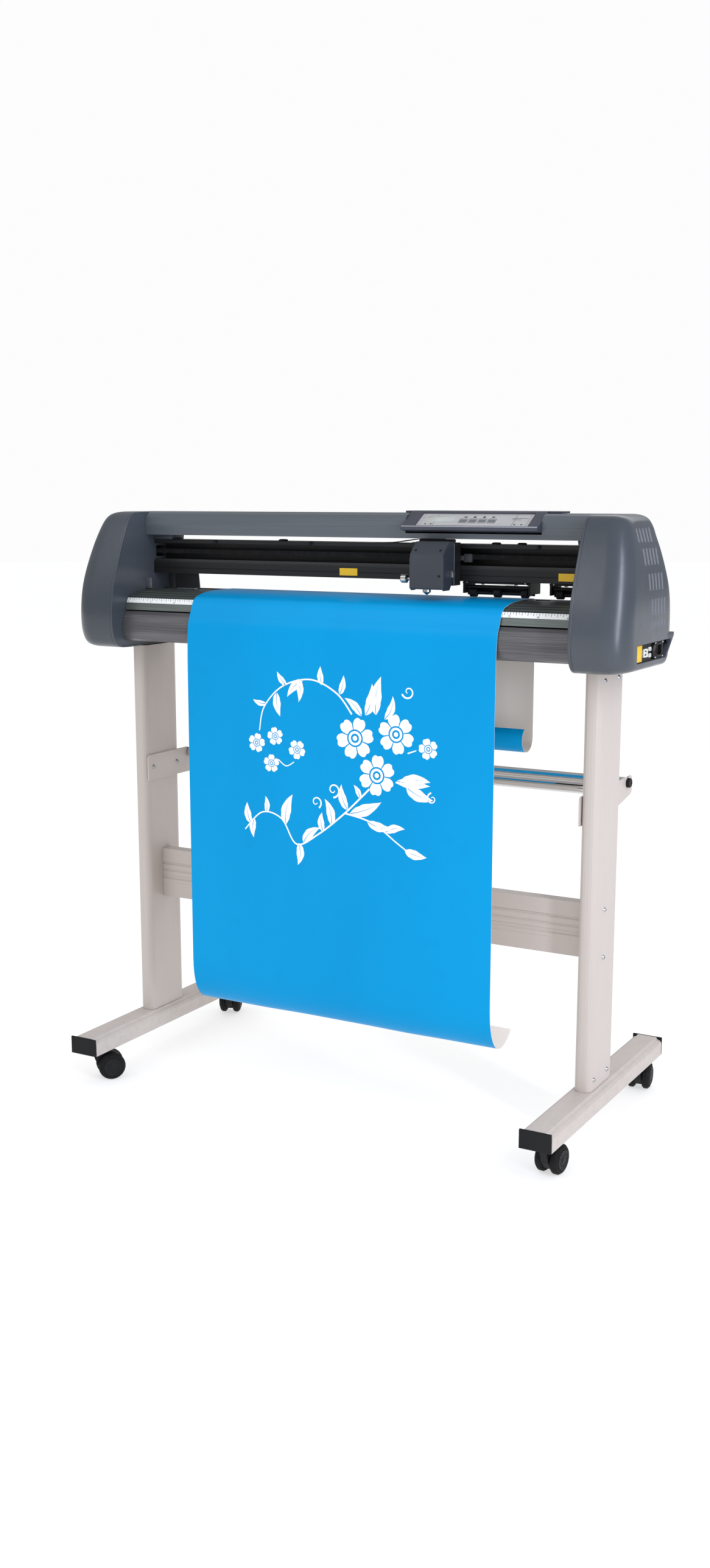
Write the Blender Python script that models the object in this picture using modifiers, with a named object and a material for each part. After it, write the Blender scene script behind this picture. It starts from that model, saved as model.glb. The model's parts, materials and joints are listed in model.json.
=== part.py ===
"""Free-standing vinyl cutter on a castered stand, modelled as separate parts.

X runs along the machine, +Y points to its back and +Z up. The origin is on the floor
under the middle of the machine. Dimensions are millimetres; meshes are made in metres.
"""

import math

import bmesh
import bpy
from mathutils import Matrix, Vector

MM = 0.001
GAP = 0.3
SHARP_ANGLE = math.radians(35.0)

# Stand
POST_X = 446.0
LEG_WIDTH, LEG_DEPTH, LEG_CORNER, LEG_Y = 30.0, 104.0, 12.0, -17.0
FOOT_LENGTH, FOOT_WIDTH, FOOT_BOTTOM, FOOT_TOP = 525.0, 55.0, 59.0, 91.0
FOOT_CAP = 4.0
WALL = 2.5
CROSSBAR_Z = (310.0, 402.5)
CROSSBAR_Y = (-26.3, -1.3)

# Roll support behind the legs
ROLLER_RADIUS, ROLLER_Z, ROLLER_YS = 9.5, 578.0, {"front": 62.0, "rear": 150.0}
BRACKET_THICK = 3.0

# Casters: twin wheels that trail behind a vertical stem
WHEEL_RADIUS, WHEEL_OUTER, WHEEL_INNER, AXLE_RADIUS = 25.0, 21.0, 7.2, 3.0
STEM_Y, TRAIL = 214.0, 19.0
CASTER_YAWS = {"front_left": -42.0, "front_right": -6.0, "rear_left": 24.0, "rear_right": 8.0}

# Cutting head
HEAD_HALF = 436.0
CAP_OUTER_X, CAP_ROUND_X = 528.0, 44.0
CAP_ROUND_FRONT, CAP_ROUND_BACK, CAP_ROUND_TOP = 44.0, 58.0, 12.0
CAP_WALL, PLATE_THICK = 3.0, 3.0
CAP_CENTRE = (-28.0, 905.0)
CAP_LEAN, CAP_LEAN_FROM, CAP_LEAN_TOP, CAP_LEAN_STEP = 28.0, 880.0, 1036.0, 26
SPAN = HEAD_HALF - GAP

# Media feed
SHAFT_Y, SHAFT_Z, SHAFT_RADIUS, GRIT_RADIUS = -8.0, 885.6, 5.2, 11.0
GRIT_DRUMS = [(-395, -355), (-215, -175), (-20, 20), (192, 318), (347, 405)]
PLATEN_TOP = 896.0
SHEET_THICK, SHEET_X = 1.2, (-290.0, 306.0)
PINCH_RADIUS = 7.0
PINCH_Z = PLATEN_TOP + 2.5 + PINCH_RADIUS
PINCH_PIVOT = (14.0, 913.0)

# Carriage and its belt
RAIL_Z = (924.5, 985.0)
RAIL_FRONT = -25.0
BELT_Y, BELT_Z, BELT_HEIGHT, BELT_THICK = -2.0, 960.0, 8.0, 1.4
PULLEY_X, PITCH_RADIUS = 470.0, 8.0
CARRIAGE_X = 152.0
COVER_X = (131.0, 192.0)
TOOL_Y = -70.0

# Control panel
PANEL_X = (100.0, 345.0)
PANEL_FRONT, PANEL_BACK = (-66.0, 1014.0), (-26.0, 1038.0)
KEY_XS = (205.0, 222.0, 239.0, 256.0)

# Right end connector panel
PORT_Y, PORT_Z = (-98.0, 30.0), (809.0, 838.0)

FINISHES = {
    "cap_grey": ((0.10, 0.11, 0.125), 0.42, 0.0),
    "beam_grey": ((0.13, 0.14, 0.16), 0.40, 0.1),
    "black_plastic": ((0.02, 0.02, 0.02), 0.50, 0.0),
    "black_anodised": ((0.025, 0.025, 0.027), 0.38, 0.6),
    "silver_overlay": ((0.50, 0.50, 0.51), 0.45, 0.1),
    "key_grey": ((0.25, 0.26, 0.28), 0.50, 0.0),
    "platen_grey": ((0.16, 0.175, 0.17), 0.38, 0.7),
    "apron_grey": ((0.30, 0.30, 0.30), 0.40, 0.6),
    "ruler_white": ((0.75, 0.77, 0.78), 0.50, 0.0),
    "beige_paint": ((0.62, 0.56, 0.53), 0.45, 0.0),
    "steel": ((0.55, 0.55, 0.56), 0.35, 1.0),
    "chrome": ((0.80, 0.80, 0.80), 0.10, 1.0),
    "rubber": ((0.03, 0.03, 0.03), 0.80, 0.0),
    "board_green": ((0.02, 0.16, 0.06), 0.55, 0.0),
    "vinyl_blue": ((0.0, 0.35, 0.78), 0.35, 0.0),
}


def clear_scene():
    for obj in list(bpy.data.objects):
        bpy.data.objects.remove(obj, do_unlink=True)


def new_collection(name):
    collection = bpy.data.collections.new(name)
    bpy.context.scene.collection.children.link(collection)
    return collection


clear_scene()
PARTS = new_collection("vinyl_cutter")
CUTTERS = new_collection("cutters")


# ---------------------------------------------------------------- helpers

def material_for(name, finish):
    colour, roughness, metallic = FINISHES[finish]
    material = bpy.data.materials.new(name)
    material.use_nodes = True
    shader = material.node_tree.nodes["Principled BSDF"]
    shader.inputs["Base Color"].default_value = (*colour, 1.0)
    shader.inputs["Roughness"].default_value = roughness
    shader.inputs["Metallic"].default_value = metallic
    return material


def add_part(name, bm, finish, pivot=(0, 0, 0)):
    """Makes a part from a mesh in millimetres, with its origin at pivot."""
    offset = Vector(pivot)
    bmesh.ops.transform(bm, matrix=Matrix.Translation(-offset), verts=bm.verts)
    bmesh.ops.transform(bm, matrix=Matrix.Scale(MM, 4), verts=bm.verts)
    mesh = bpy.data.meshes.new(name)
    bm.to_mesh(mesh)
    bm.free()
    mesh.shade_smooth()
    mesh.set_sharp_from_angle(angle=SHARP_ANGLE)
    mesh.materials.append(material_for(name, finish))
    part = bpy.data.objects.new(name, mesh)
    part.location = offset * MM
    PARTS.objects.link(part)
    return part


def cutter(bm):
    """Turns a mesh in millimetres into a hidden guide that Booleans use."""
    bmesh.ops.transform(bm, matrix=Matrix.Scale(MM, 4), verts=bm.verts)
    mesh = bpy.data.meshes.new("cutter")
    bm.to_mesh(mesh)
    bm.free()
    guide = bpy.data.objects.new("cutter", mesh)
    guide.hide_render = True
    guide.display_type = "WIRE"
    CUTTERS.objects.link(guide)
    return guide


def boolean(part, bm, operation="DIFFERENCE"):
    """Cuts or joins a mesh; like the part's own it is given in world millimetres."""
    modifier = part.modifiers.new(operation.lower(), "BOOLEAN")
    modifier.operation = operation
    modifier.solver = "EXACT"
    modifier.object = cutter(bm)
    return part


def box(lo, hi, bevel=0.0, segments=2):
    bm = bmesh.new()
    bmesh.ops.create_cube(bm, size=1.0)
    size = [b - a for a, b in zip(lo, hi)]
    middle = [(a + b) / 2 for a, b in zip(lo, hi)]
    bmesh.ops.scale(bm, vec=size, verts=bm.verts)
    bmesh.ops.translate(bm, vec=middle, verts=bm.verts)
    if bevel:
        bmesh.ops.bevel(
            bm, geom=bm.edges[:], offset=bevel, segments=segments, affect="EDGES", profile=0.5
        )
    return bm


AXIS_FRAMES = {
    "X": Matrix(((0, 0, 1, 0), (1, 0, 0, 0), (0, 1, 0, 0), (0, 0, 0, 1))),
    "Y": Matrix(((1, 0, 0, 0), (0, 0, -1, 0), (0, 1, 0, 0), (0, 0, 0, 1))),
    "Z": Matrix.Identity(4),
}


def rod(radius, start, end, axis, centre, sides=20):
    """A round bar along a world axis from start to end."""
    bm = bmesh.new()
    bmesh.ops.create_cone(
        bm, cap_ends=True, segments=sides, radius1=radius, radius2=radius, depth=end - start
    )
    places = {
        "X": ((start + end) / 2, centre[0], centre[1]),
        "Y": (centre[0], (start + end) / 2, centre[1]),
        "Z": (centre[0], centre[1], (start + end) / 2),
    }
    bmesh.ops.transform(bm, matrix=AXIS_FRAMES[axis], verts=bm.verts)
    bmesh.ops.translate(bm, vec=places[axis], verts=bm.verts)
    return bm


def extrusion(loops, start, end, axis="X", rounding=0.0):
    """Extrudes filled outlines along an axis; loops inside the first are holes."""
    curve = bpy.data.curves.new("outline", "CURVE")
    curve.dimensions = "2D"
    curve.fill_mode = "BOTH"
    curve.extrude = (end - start) / 2 - rounding
    curve.bevel_depth = rounding
    curve.offset = -rounding
    curve.bevel_resolution = 1
    for loop in loops:
        spline = curve.splines.new("POLY")
        spline.points.add(len(loop) - 1)
        for point, (u, v) in zip(spline.points, loop):
            point.co = (u, v, 0, 1)
        spline.use_cyclic_u = True
    guide = bpy.data.objects.new("outline", curve)
    bpy.context.scene.collection.objects.link(guide)
    evaluated = guide.evaluated_get(bpy.context.evaluated_depsgraph_get())
    mesh = bpy.data.meshes.new_from_object(evaluated)
    bpy.data.objects.remove(guide, do_unlink=True)
    bm = bmesh.new()
    bm.from_mesh(mesh)
    bpy.data.meshes.remove(mesh)
    bmesh.ops.remove_doubles(bm, verts=bm.verts, dist=0.001)
    bmesh.ops.transform(bm, matrix=AXIS_FRAMES[axis], verts=bm.verts)
    middle = (start + end) / 2 * (-1 if axis == "Y" else 1)
    shift = AXIS_FRAMES[axis] @ Vector((0, 0, middle))
    bmesh.ops.translate(bm, vec=shift, verts=bm.verts)
    bmesh.ops.recalc_face_normals(bm, faces=bm.faces)
    return bm


def arc(centre, radius, first, last, steps):
    """Points on an arc, angles in degrees."""
    angles = [math.radians(first + (last - first) * i / steps) for i in range(steps + 1)]
    return [(centre[0] + radius * math.cos(a), centre[1] + radius * math.sin(a)) for a in angles]


def rounded_rectangle(centre, width, height, corner, steps=4):
    points = []
    for quarter, (sx, sy) in enumerate(((1, 1), (-1, 1), (-1, -1), (1, -1))):
        corner_centre = (
            centre[0] + sx * (width / 2 - corner),
            centre[1] + sy * (height / 2 - corner),
        )
        points += arc(corner_centre, corner, 90 * quarter, 90 * quarter + 90, steps)
    return points


def rectangle(lo, hi):
    return [(lo[0], lo[1]), (hi[0], lo[1]), (hi[0], hi[1]), (lo[0], hi[1])]


def offset_path(path, distance, closed=False):
    """Moves each point of a path to its left by distance, mitred at the corners."""
    moved = []
    count = len(path)
    for i, point in enumerate(path):
        before = path[i - 1] if closed or i > 0 else None
        after = path[(i + 1) % count] if closed or i < count - 1 else None
        normals = []
        for a, b in ((before, point), (point, after)):
            if a is not None and b is not None:
                direction = Vector((b[0] - a[0], b[1] - a[1])).normalized()
                normals.append(Vector((-direction.y, direction.x)))
        middle = sum(normals, Vector((0, 0))).normalized()
        reach = distance / max(0.35, middle.dot(normals[0]))
        moved.append((point[0] + middle.x * reach, point[1] + middle.y * reach))
    return moved


def strip(path, thickness):
    """The closed outline of a wall of given thickness centred on a path."""
    return offset_path(path, thickness / 2) + offset_path(path, -thickness / 2)[::-1]


def turned(name, profile, finish, axis, pivot, steps=24, ring=False):
    """Revolves a profile of (radius, distance along the axis) points about its axis."""
    mesh = bpy.data.meshes.new(name)
    vertices = [(r * MM, 0, h * MM) for r, h in profile]
    edges = [(i, i + 1) for i in range(len(profile) - 1)]
    if ring:
        edges.append((len(profile) - 1, 0))
    mesh.from_pydata(vertices, edges, [])
    mesh.materials.append(material_for(name, finish))
    part = bpy.data.objects.new(name, mesh)
    turns = {"X": (0, math.pi / 2, 0), "Z": (0, 0, 0)}
    part.rotation_euler = turns[axis]
    part.location = Vector(pivot) * MM
    screw = part.modifiers.new("turn", "SCREW")
    screw.steps = steps
    screw.render_steps = steps
    screw.use_merge_vertices = True
    screw.merge_threshold = 0.00001
    PARTS.objects.link(part)
    return part


# ---------------------------------------------------------------- stand

def foot_outline(shrink):
    """Section of a foot tube: square below, with a small step along each upper edge."""
    half = FOOT_WIDTH / 2
    side = [
        (half, FOOT_BOTTOM), (half, FOOT_TOP - 9), (half - 3.5, FOOT_TOP - 5),
        (half - 7.5, FOOT_TOP - 4), (half - 10.5, FOOT_TOP),
    ]
    outline = side + [(-x, z) for x, z in reversed(side)]
    return offset_path(outline, shrink, closed=True) if shrink else outline


def make_foot(side, name):
    x = side * POST_X
    length = FOOT_LENGTH / 2 - FOOT_CAP - GAP
    loops = [[(x + u, v) for u, v in foot_outline(shrink)] for shrink in (0.0, WALL)]
    foot = add_part(f"{name}_foot", extrusion(loops, -length, length, "Y"), "beige_paint")
    for y in (-STEM_Y, STEM_Y):
        boolean(foot, rod(5.6, FOOT_BOTTOM - 5, FOOT_BOTTOM + 8, "Z", (x, y)))
    for end, direction in (("front", -1), ("rear", 1)):
        face = direction * FOOT_LENGTH / 2
        lo, hi = sorted((face, face - direction * FOOT_CAP))
        half = FOOT_WIDTH / 2
        cap = add_part(
            f"foot_cap_{end}_{name}",
            box((x - half, lo, FOOT_BOTTOM), (x + half, hi, FOOT_TOP), 1.0),
            "black_plastic",
        )
        plug = sorted((face - direction * 3, face - direction * 22))
        inner = [[(x + u, v) for u, v in foot_outline(WALL + GAP)]]
        boolean(cap, extrusion(inner, plug[0], plug[1], "Y"), "UNION")


def make_leg(side, name):
    centre = (side * POST_X, LEG_Y)
    loops = [
        rounded_rectangle(centre, LEG_WIDTH, LEG_DEPTH, LEG_CORNER),
        rounded_rectangle(centre, LEG_WIDTH - 2 * WALL, LEG_DEPTH - 2 * WALL, LEG_CORNER - WALL),
    ]
    add_part(f"{name}_leg", extrusion(loops, FOOT_TOP + GAP, 792.6, "Z"), "beige_paint")


def make_crossbar():
    """A flat extrusion with shallow grooves and one rib along both wide faces."""
    front, back = CROSSBAR_Y
    low, high = CROSSBAR_Z
    steps = [
        (0, 27), (-0.8, 29), (-0.8, 34), (1.2, 36), (1.2, 41), (0.2, 42), (0.2, 49), (1.4, 50),
        (1.4, 52), (0.2, 53), (0.2, 62), (1.8, 63), (1.8, 66), (0, 67),
    ]
    face = [(low + height, depth) for depth, height in steps]
    outline = [(front, low)] + [(back, low)]
    outline += [(back - depth, z) for z, depth in face]
    outline += [(back, high), (front, high)]
    outline += [(front + depth, z) for z, depth in reversed(face)]
    reach = POST_X - LEG_WIDTH / 2 - GAP
    add_part("crossbar", extrusion([outline], -reach, reach), "beige_paint")


def make_roll_bracket(side, name):
    """A plate on the inner face of a leg with two open notches that carry the rollers."""
    outer = side * (POST_X - LEG_WIDTH / 2 - GAP)
    outline = [(-68, 540), (84, 540), (168, 556), (173, 561), (173, 584), (169, 588)]
    for y in (ROLLER_YS["rear"], ROLLER_YS["front"]):
        notch = arc((y, ROLLER_Z), 4.6, 0, -180, 6)
        outline += [(y + 4.6, 588), *notch, (y - 4.6, 588)]
    outline += [(-64, 588), (-68, 584)]
    lo, hi = sorted((outer, outer - side * BRACKET_THICK))
    add_part(f"{name}_roll_bracket", extrusion([outline], lo, hi), "beige_paint")


def make_roller(name, y):
    length = POST_X - LEG_WIDTH / 2 - BRACKET_THICK - 2 * GAP - 1.0
    radius, stub = ROLLER_RADIUS, 4.0
    half = [(0, length + 3.6), (stub, length + 3.6), (stub, length), (radius - 1.5, length)]
    half += [(radius, length - 1.5)]
    profile = half + [(r, -h) for r, h in reversed(half)]
    turned(f"{name}_roller_bar", profile, "chrome", "X", (0, y, ROLLER_Z))


def make_caster(name, x, y, yaw):
    """A hooded fork on a stem, and two wheels on one axle behind it."""
    spin = math.radians(yaw)
    stem = Vector((x, y, 0)) * MM
    neck = FOOT_BOTTOM - GAP
    web = [(-13, neck - 3), (-13, 46), (-9, 34), (-4, 22), (4, 11), (19, 6), (30, 10), (38, 20)]
    web += [(40, 32), (35, 44), (24, 50), (13, neck - 3)]
    fork = add_part(f"caster_fork_{name}", extrusion([web], -6.6, 6.6), "black_plastic")
    boolean(fork, rod(13.5, 49, neck, "Z", (0, 0)), "UNION")
    boolean(fork, rod(5.0, 52, 82, "Z", (0, 0)), "UNION")
    boolean(fork, rod(AXLE_RADIUS + 0.5, -20, 20, "X", (TRAIL, WHEEL_RADIUS)))
    for modifier in fork.modifiers:
        modifier.object.matrix_world = Matrix.Translation(stem) @ Matrix.Rotation(spin, 4, "Z")
    fork.location = stem
    fork.rotation_euler = (0, 0, spin)
    half = [
        (0, WHEEL_OUTER), (17, WHEEL_OUTER), (22, WHEEL_OUTER - 1.5), (WHEEL_RADIUS, 16),
        (WHEEL_RADIUS, 10), (22.5, WHEEL_INNER), (AXLE_RADIUS, WHEEL_INNER),
    ]
    profile = half + [(r, -h) for r, h in reversed(half)]
    centre = Vector((x, y, WHEEL_RADIUS)) + Matrix.Rotation(spin, 3, "Z") @ Vector((0, TRAIL, 0))
    wheels = turned(f"caster_wheels_{name}", profile, "rubber", "X", centre, 22)
    wheels.rotation_euler = (0, math.pi / 2, spin)


# ---------------------------------------------------------------- head structure

CAP_PROFILE = [
    (-128, 794), (-110, 793), (68, 793), (84, 797), (94, 812), (98, 840), (97, 880), (92, 918),
    (77, 952), (60, 990), (48, 1022), (33, 1035.6), (-68, 1035.6), (-84, 1033.4), (-95, 1026),
    (-103, 1014), (-116, 988), (-131.5, 950), (-143.5, 919), (-151, 892), (-155.5, 862),
    (-156, 842), (-153.5, 820), (-146, 804.5), (-138, 797.5),
]


def cap_ring(turn):
    """The cap's outline where its rounded shoulder has turned by this many degrees."""
    fall = 1 - math.cos(math.radians(turn))
    ring = []
    for y, z in CAP_PROFILE:
        reach = CAP_ROUND_FRONT if y < CAP_CENTRE[0] else CAP_ROUND_BACK
        y_scale = 1 - reach * fall / 127.0
        z_scale = 1 - CAP_ROUND_TOP * fall / 131.0
        ring.append((
            CAP_CENTRE[0] + (y - CAP_CENTRE[0]) * y_scale,
            CAP_CENTRE[1] + (z - CAP_CENTRE[1]) * z_scale,
        ))
    return ring


def lean_in(bm):
    """Draws a cap's outer end towards the machine, more and more with height."""
    for level in range(int(CAP_LEAN_FROM), int(CAP_LEAN_TOP), CAP_LEAN_STEP):
        whole = bm.verts[:] + bm.edges[:] + bm.faces[:]
        bmesh.ops.bisect_plane(bm, geom=whole, plane_co=(0, 0, level), plane_no=(0, 0, 1))
    for vert in bm.verts:
        rise = max(0.0, vert.co.z - CAP_LEAN_FROM) / (CAP_LEAN_TOP - CAP_LEAN_FROM)
        out = (abs(vert.co.x) - HEAD_HALF) / (CAP_OUTER_X - HEAD_HALF)
        vert.co.x -= math.copysign(CAP_LEAN * rise ** 2 * out, vert.co.x)


def make_end_cap(side, name):
    """A deep moulded cover: a lofted skin, open towards the machine, with a thin wall."""
    bm = bmesh.new()
    stations = [(HEAD_HALF, 0)]
    for turn in (0, 18, 36, 54, 72, 90):
        start = CAP_OUTER_X - CAP_ROUND_X
        stations.append((start + CAP_ROUND_X * math.sin(math.radians(turn)), turn))
    rings = [[bm.verts.new((side * x, y, z)) for y, z in cap_ring(turn)] for x, turn in stations]
    count = len(CAP_PROFILE)
    for near, far in zip(rings, rings[1:]):
        for i in range(count):
            j = (i + 1) % count
            bm.faces.new((near[i], near[j], far[j], far[i]))
    bm.faces.new(rings[-1])
    if side < 0:
        bmesh.ops.reverse_faces(bm, faces=bm.faces)
    lean_in(bm)
    cap = add_part(f"{name}_end_cap", bm, "cap_grey")
    wall = cap.modifiers.new("wall", "SOLIDIFY")
    wall.thickness = CAP_WALL * MM
    wall.offset = -1.0
    wall.use_even_offset = True
    if side > 0:
        lo = (CAP_OUTER_X - 12, PORT_Y[0], PORT_Z[0])
        hi = (CAP_OUTER_X + 9, PORT_Y[1], PORT_Z[1])
        boolean(cap, box(lo, hi))


def make_side_plate(side, name):
    """The upright that carries rail, beam and platen, closing the cap's open side."""
    outline = offset_path(CAP_PROFILE, CAP_WALL + 0.6, closed=True)
    belt_window = rectangle((BELT_Y - 15, BELT_Z - 6), (BELT_Y + 15, BELT_Z + BELT_HEIGHT + 6))
    shaft_hole = arc((SHAFT_Y, SHAFT_Z), SHAFT_RADIUS + 0.5, 0, 345, 23)
    inner = HEAD_HALF + GAP
    lo, hi = sorted((side * inner, side * (inner + PLATE_THICK)))
    plate = add_part(
        f"{name}_side_plate", extrusion([outline, belt_window, shaft_hole], lo, hi), "cap_grey"
    )
    shelf_top = BELT_Z - 7
    reach = sorted((side * (inner + 1), side * (PULLEY_X + 14)))
    if side < 0:
        shelf = box((reach[0], BELT_Y - 12, shelf_top - 3), (reach[1], BELT_Y + 12, shelf_top))
        boolean(plate, shelf, "UNION")
        spindle = rod(2.5, shelf_top - 2, BELT_Z + BELT_HEIGHT + 3, "Z", (-PULLEY_X, BELT_Y), 12)
        boolean(plate, spindle, "UNION")


BEAM_OUTLINE = [
    (-46, 994), (56, 994), (57, 1010), (51, 1027), (42, 1033.5), (32, 1035.6), (-33, 1035.6),
    (-43, 1032), (-48, 1026), (-50, 1012),
]


def make_top_beam():
    """The long cover above the rail, cut away where the control panel sits."""
    loops = [BEAM_OUTLINE, offset_path(BEAM_OUTLINE, WALL, closed=True)]
    beam = add_part("top_beam", extrusion(loops, -SPAN, SPAN), "beam_grey")
    lo = (PANEL_X[0] - GAP, -90, 1002.7)
    hi = (PANEL_X[1] + GAP, -13.7, 1060)
    boolean(beam, box(lo, hi))


def make_guide_rail():
    """A C-section rail: solid sill below, an open channel for the belt above it."""
    front, back = RAIL_FRONT, 24.0
    low, high = RAIL_Z
    outline = [
        (front, low), (back, low), (back, high), (front + 3, high), (front + 3, high - 7),
        (13, high - 7), (13, 950), (front + 4, 950), (front + 2, 946), (front, 946),
    ]
    add_part("guide_rail", extrusion([outline], -SPAN, SPAN), "black_anodised")


# ---------------------------------------------------------------- control panel

def panel_point(along, depth):
    """A point of the sloping panel: distance up the slope, and depth below its surface."""
    start, end = Vector(PANEL_FRONT), Vector(PANEL_BACK)
    up = (end - start).normalized()
    inward = Vector((up.y, -up.x))
    place = start + up * along + inward * depth
    return (place.x, place.y)


def panel_block(x_range, along, depth):
    corners = [
        panel_point(along[0], depth[1]), panel_point(along[1], depth[1]),
        panel_point(along[1], depth[0]), panel_point(along[0], depth[0]),
    ]
    return extrusion([corners], x_range[0], x_range[1])


SLOPE = (Vector(PANEL_BACK) - Vector(PANEL_FRONT)).length
OVERLAY_X, TRAY_ALONG = (124.0, 326.0), (4.0, SLOPE - 2.8)
KEY_SIZE = (11.0, 7.0)
KEY_ALONG = 22.0


def make_control_panel():
    outline = [
        (-44, 1005), (-14, 1003), (-14, 1039.3), (-22, 1039.3), PANEL_BACK, PANEL_FRONT,
        (-67.6, 1011.8), (-66, 1008.6),
    ]
    bezel = add_part("panel_bezel", extrusion([outline], *PANEL_X), "cap_grey")
    ridge = box((PANEL_X[0] - 14, -21, 1036), (PANEL_X[1] + 22, 16, 1039.3), 0.8)
    boolean(bezel, ridge, "UNION")
    tray_x = (OVERLAY_X[0] - GAP, OVERLAY_X[1] + GAP)
    boolean(bezel, panel_block(tray_x, TRAY_ALONG, (-12, 5.0)))
    overlay = add_part(
        "panel_overlay",
        panel_block(OVERLAY_X, (TRAY_ALONG[0] + GAP, TRAY_ALONG[1] - GAP), (2.2, 4.7)),
        "silver_overlay",
    )
    half_w, half_h = KEY_SIZE[0] / 2, KEY_SIZE[1] / 2
    for number, x in enumerate(KEY_XS, 1):
        hole = ((x - half_w - GAP, x + half_w + GAP),
                (KEY_ALONG - half_h - GAP, KEY_ALONG + half_h + GAP))
        boolean(overlay, panel_block(hole[0], hole[1], (0, 9)))
        pivot = (x, *panel_point(KEY_ALONG, 1.6))
        key = panel_block(
            (x - half_w, x + half_w), (KEY_ALONG - half_h, KEY_ALONG + half_h), (1.6, 3.8)
        )
        add_part(f"panel_key_{number}", key, "key_grey", pivot)


# ---------------------------------------------------------------- media feed

def make_platen():
    """The grooved bed under the media, with a trough for the grit shaft."""
    front_top = [(-45, PLATEN_TOP), (-75, 893), (-99, 885.8), (-106, 882.5), (-110, 874), (-115, 862)]
    trough = [(4.5, PLATEN_TOP), (4.5, 873), (-20.5, 873), (-20.5, PLATEN_TOP)]
    skin = [(20, 878), (20, 893), (17, PLATEN_TOP), *trough, *front_top]
    outline = skin + offset_path(skin, WALL + 0.5)[::-1]
    add_part("platen", extrusion([outline], -SPAN, SPAN), "platen_grey")
    tape = offset_path([(-106, 882.5), (-110, 874)], -0.6)
    add_part("ruler_tape", extrusion([strip(tape, 0.6)], -SPAN, SPAN), "ruler_white")


def make_apron():
    """The rounded front skin below the platen."""
    path = [(-113, 858.5), (-119, 853), (-123, 840), (-123.5, 824), (-119, 811), (-110, 807)]
    path += [(-64, 807)]
    add_part("front_apron", extrusion([strip(path, WALL)], -SPAN, SPAN), "apron_grey")


def make_base_channel():
    path = [(14, 866), (14, 807.5), (-60, 807.5), (-60, 866)]
    add_part("base_channel", extrusion([strip(path, 3.0)], -SPAN, SPAN), "black_anodised")


def make_grit_shaft():
    """The driven shaft under the media, with a knurled drum under each pinch wheel."""
    right, left = HEAD_HALF + 14, -(HEAD_HALF + 12)
    profile = [(0, right), (SHAFT_RADIUS, right)]
    for start, end in reversed(GRIT_DRUMS):
        profile += [(SHAFT_RADIUS, end + 3), (GRIT_RADIUS, end), (GRIT_RADIUS, start)]
        profile += [(SHAFT_RADIUS, start - 3)]
    profile += [(SHAFT_RADIUS, left), (0, left)]
    turned("grit_shaft", profile, "steel", "X", (0, SHAFT_Y, SHAFT_Z))


def make_motor(name, centre, axis, face, length, size):
    """A square stepper motor with chamfered corners and a round pilot boss."""
    half, chamfer = size / 2, size * 0.12
    corners = [(half, -half + chamfer), (half, half - chamfer), (half - chamfer, half)]
    corners += [(-half + chamfer, half), (-half, half - chamfer), (-half, -half + chamfer)]
    corners += [(-half + chamfer, -half), (half - chamfer, -half)]
    outline = [(centre[0] + u, centre[1] + v) for u, v in corners]
    body = sorted((face, face + length))
    motor = add_part(name, extrusion([outline], body[0], body[1], axis), "black_anodised")
    boss = sorted((face + length * 0.1, face - math.copysign(2.0, length)))
    boolean(motor, rod(size * 0.25, boss[0], boss[1], axis, centre), "UNION")


def make_sheet():
    """The hanging media: up from a forward curl behind, over the platen, down in front."""
    back_y, top = 24.0, PLATEN_TOP + 1.6
    path = arc((back_y - 22, 664), 22, -235, 0, 16)
    path += arc((back_y - 8, top - 8), 8, 0, 90, 5)
    path += [(-45, top), (-76, top - 3), (-101, 888.2), (-109.5, 882), (-114, 873), (-118, 862)]
    path += [(-124.5, 850), (-127.5, 836), (-129, 815), (-130, 785), (-131, 600), (-131, 400)]
    path += [(-131, 226), (-129.5, 205), (-125, 185), (-117, 168), (-105.5, 155), (-92, 148.5)]
    path += [(-76, 148), (-61, 153.5), (-49, 162.5), (-43, 170)]
    sheet = extrusion([strip(path, SHEET_THICK)], *SHEET_X)
    add_part("vinyl_sheet", sheet, "vinyl_blue")


# ---------------------------------------------------------------- pinch rollers

def make_pinch_unit(name, x_range, rollers):
    """A holder under the rail, a lifting arm hinged in it, and its rubber rollers."""
    left, right = x_range
    holder = add_part(
        f"pinch_holder_{name}", box((left, -24, 921), (right, 21, RAIL_Z[0] - GAP), 0.6, 1),
        "black_plastic",
    )
    for x in (left, right - 3):
        boolean(holder, box((x, -22, 905), (x + 3, 20, 923)), "UNION")
    pivot = ((left + right) / 2, *PINCH_PIVOT)
    arm = add_part(
        f"pinch_arm_{name}", box((left + 3.5, -17, 913.6), (right - 3.5, 16, 917), 0.5, 1),
        "black_plastic", pivot,
    )
    hinge = rod(3.2, left + 3.6, right - 3.6, "X", PINCH_PIVOT, 12)
    lever = box((pivot[0] - 9, 12, 911), (pivot[0] + 9, 38, 914.5), 0.5, 1)
    ears = [box((x, -13, 902.2), (x + 3, -2.5, 915)) for x in (left + 4.4, right - 7.4)]
    for piece in (hinge, lever, *ears):
        boolean(arm, piece, "UNION")
    boolean(arm, rod(2.5, left, right, "X", (SHAFT_Y, PINCH_Z), 14))
    profile = [(0, right - 3.9), (2, right - 3.9)]
    for start, end in reversed(rollers):
        profile += [(2, end), (PINCH_RADIUS, end), (PINCH_RADIUS, start), (2, start)]
    profile += [(2, left + 3.9), (0, left + 3.9)]
    middle = pivot[0]
    profile = [(r, h - middle) for r, h in profile]
    turned(f"pinch_wheels_{name}", profile, "rubber", "X", (middle, SHAFT_Y, PINCH_Z), 20)


# ---------------------------------------------------------------- belt and carriage

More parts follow.
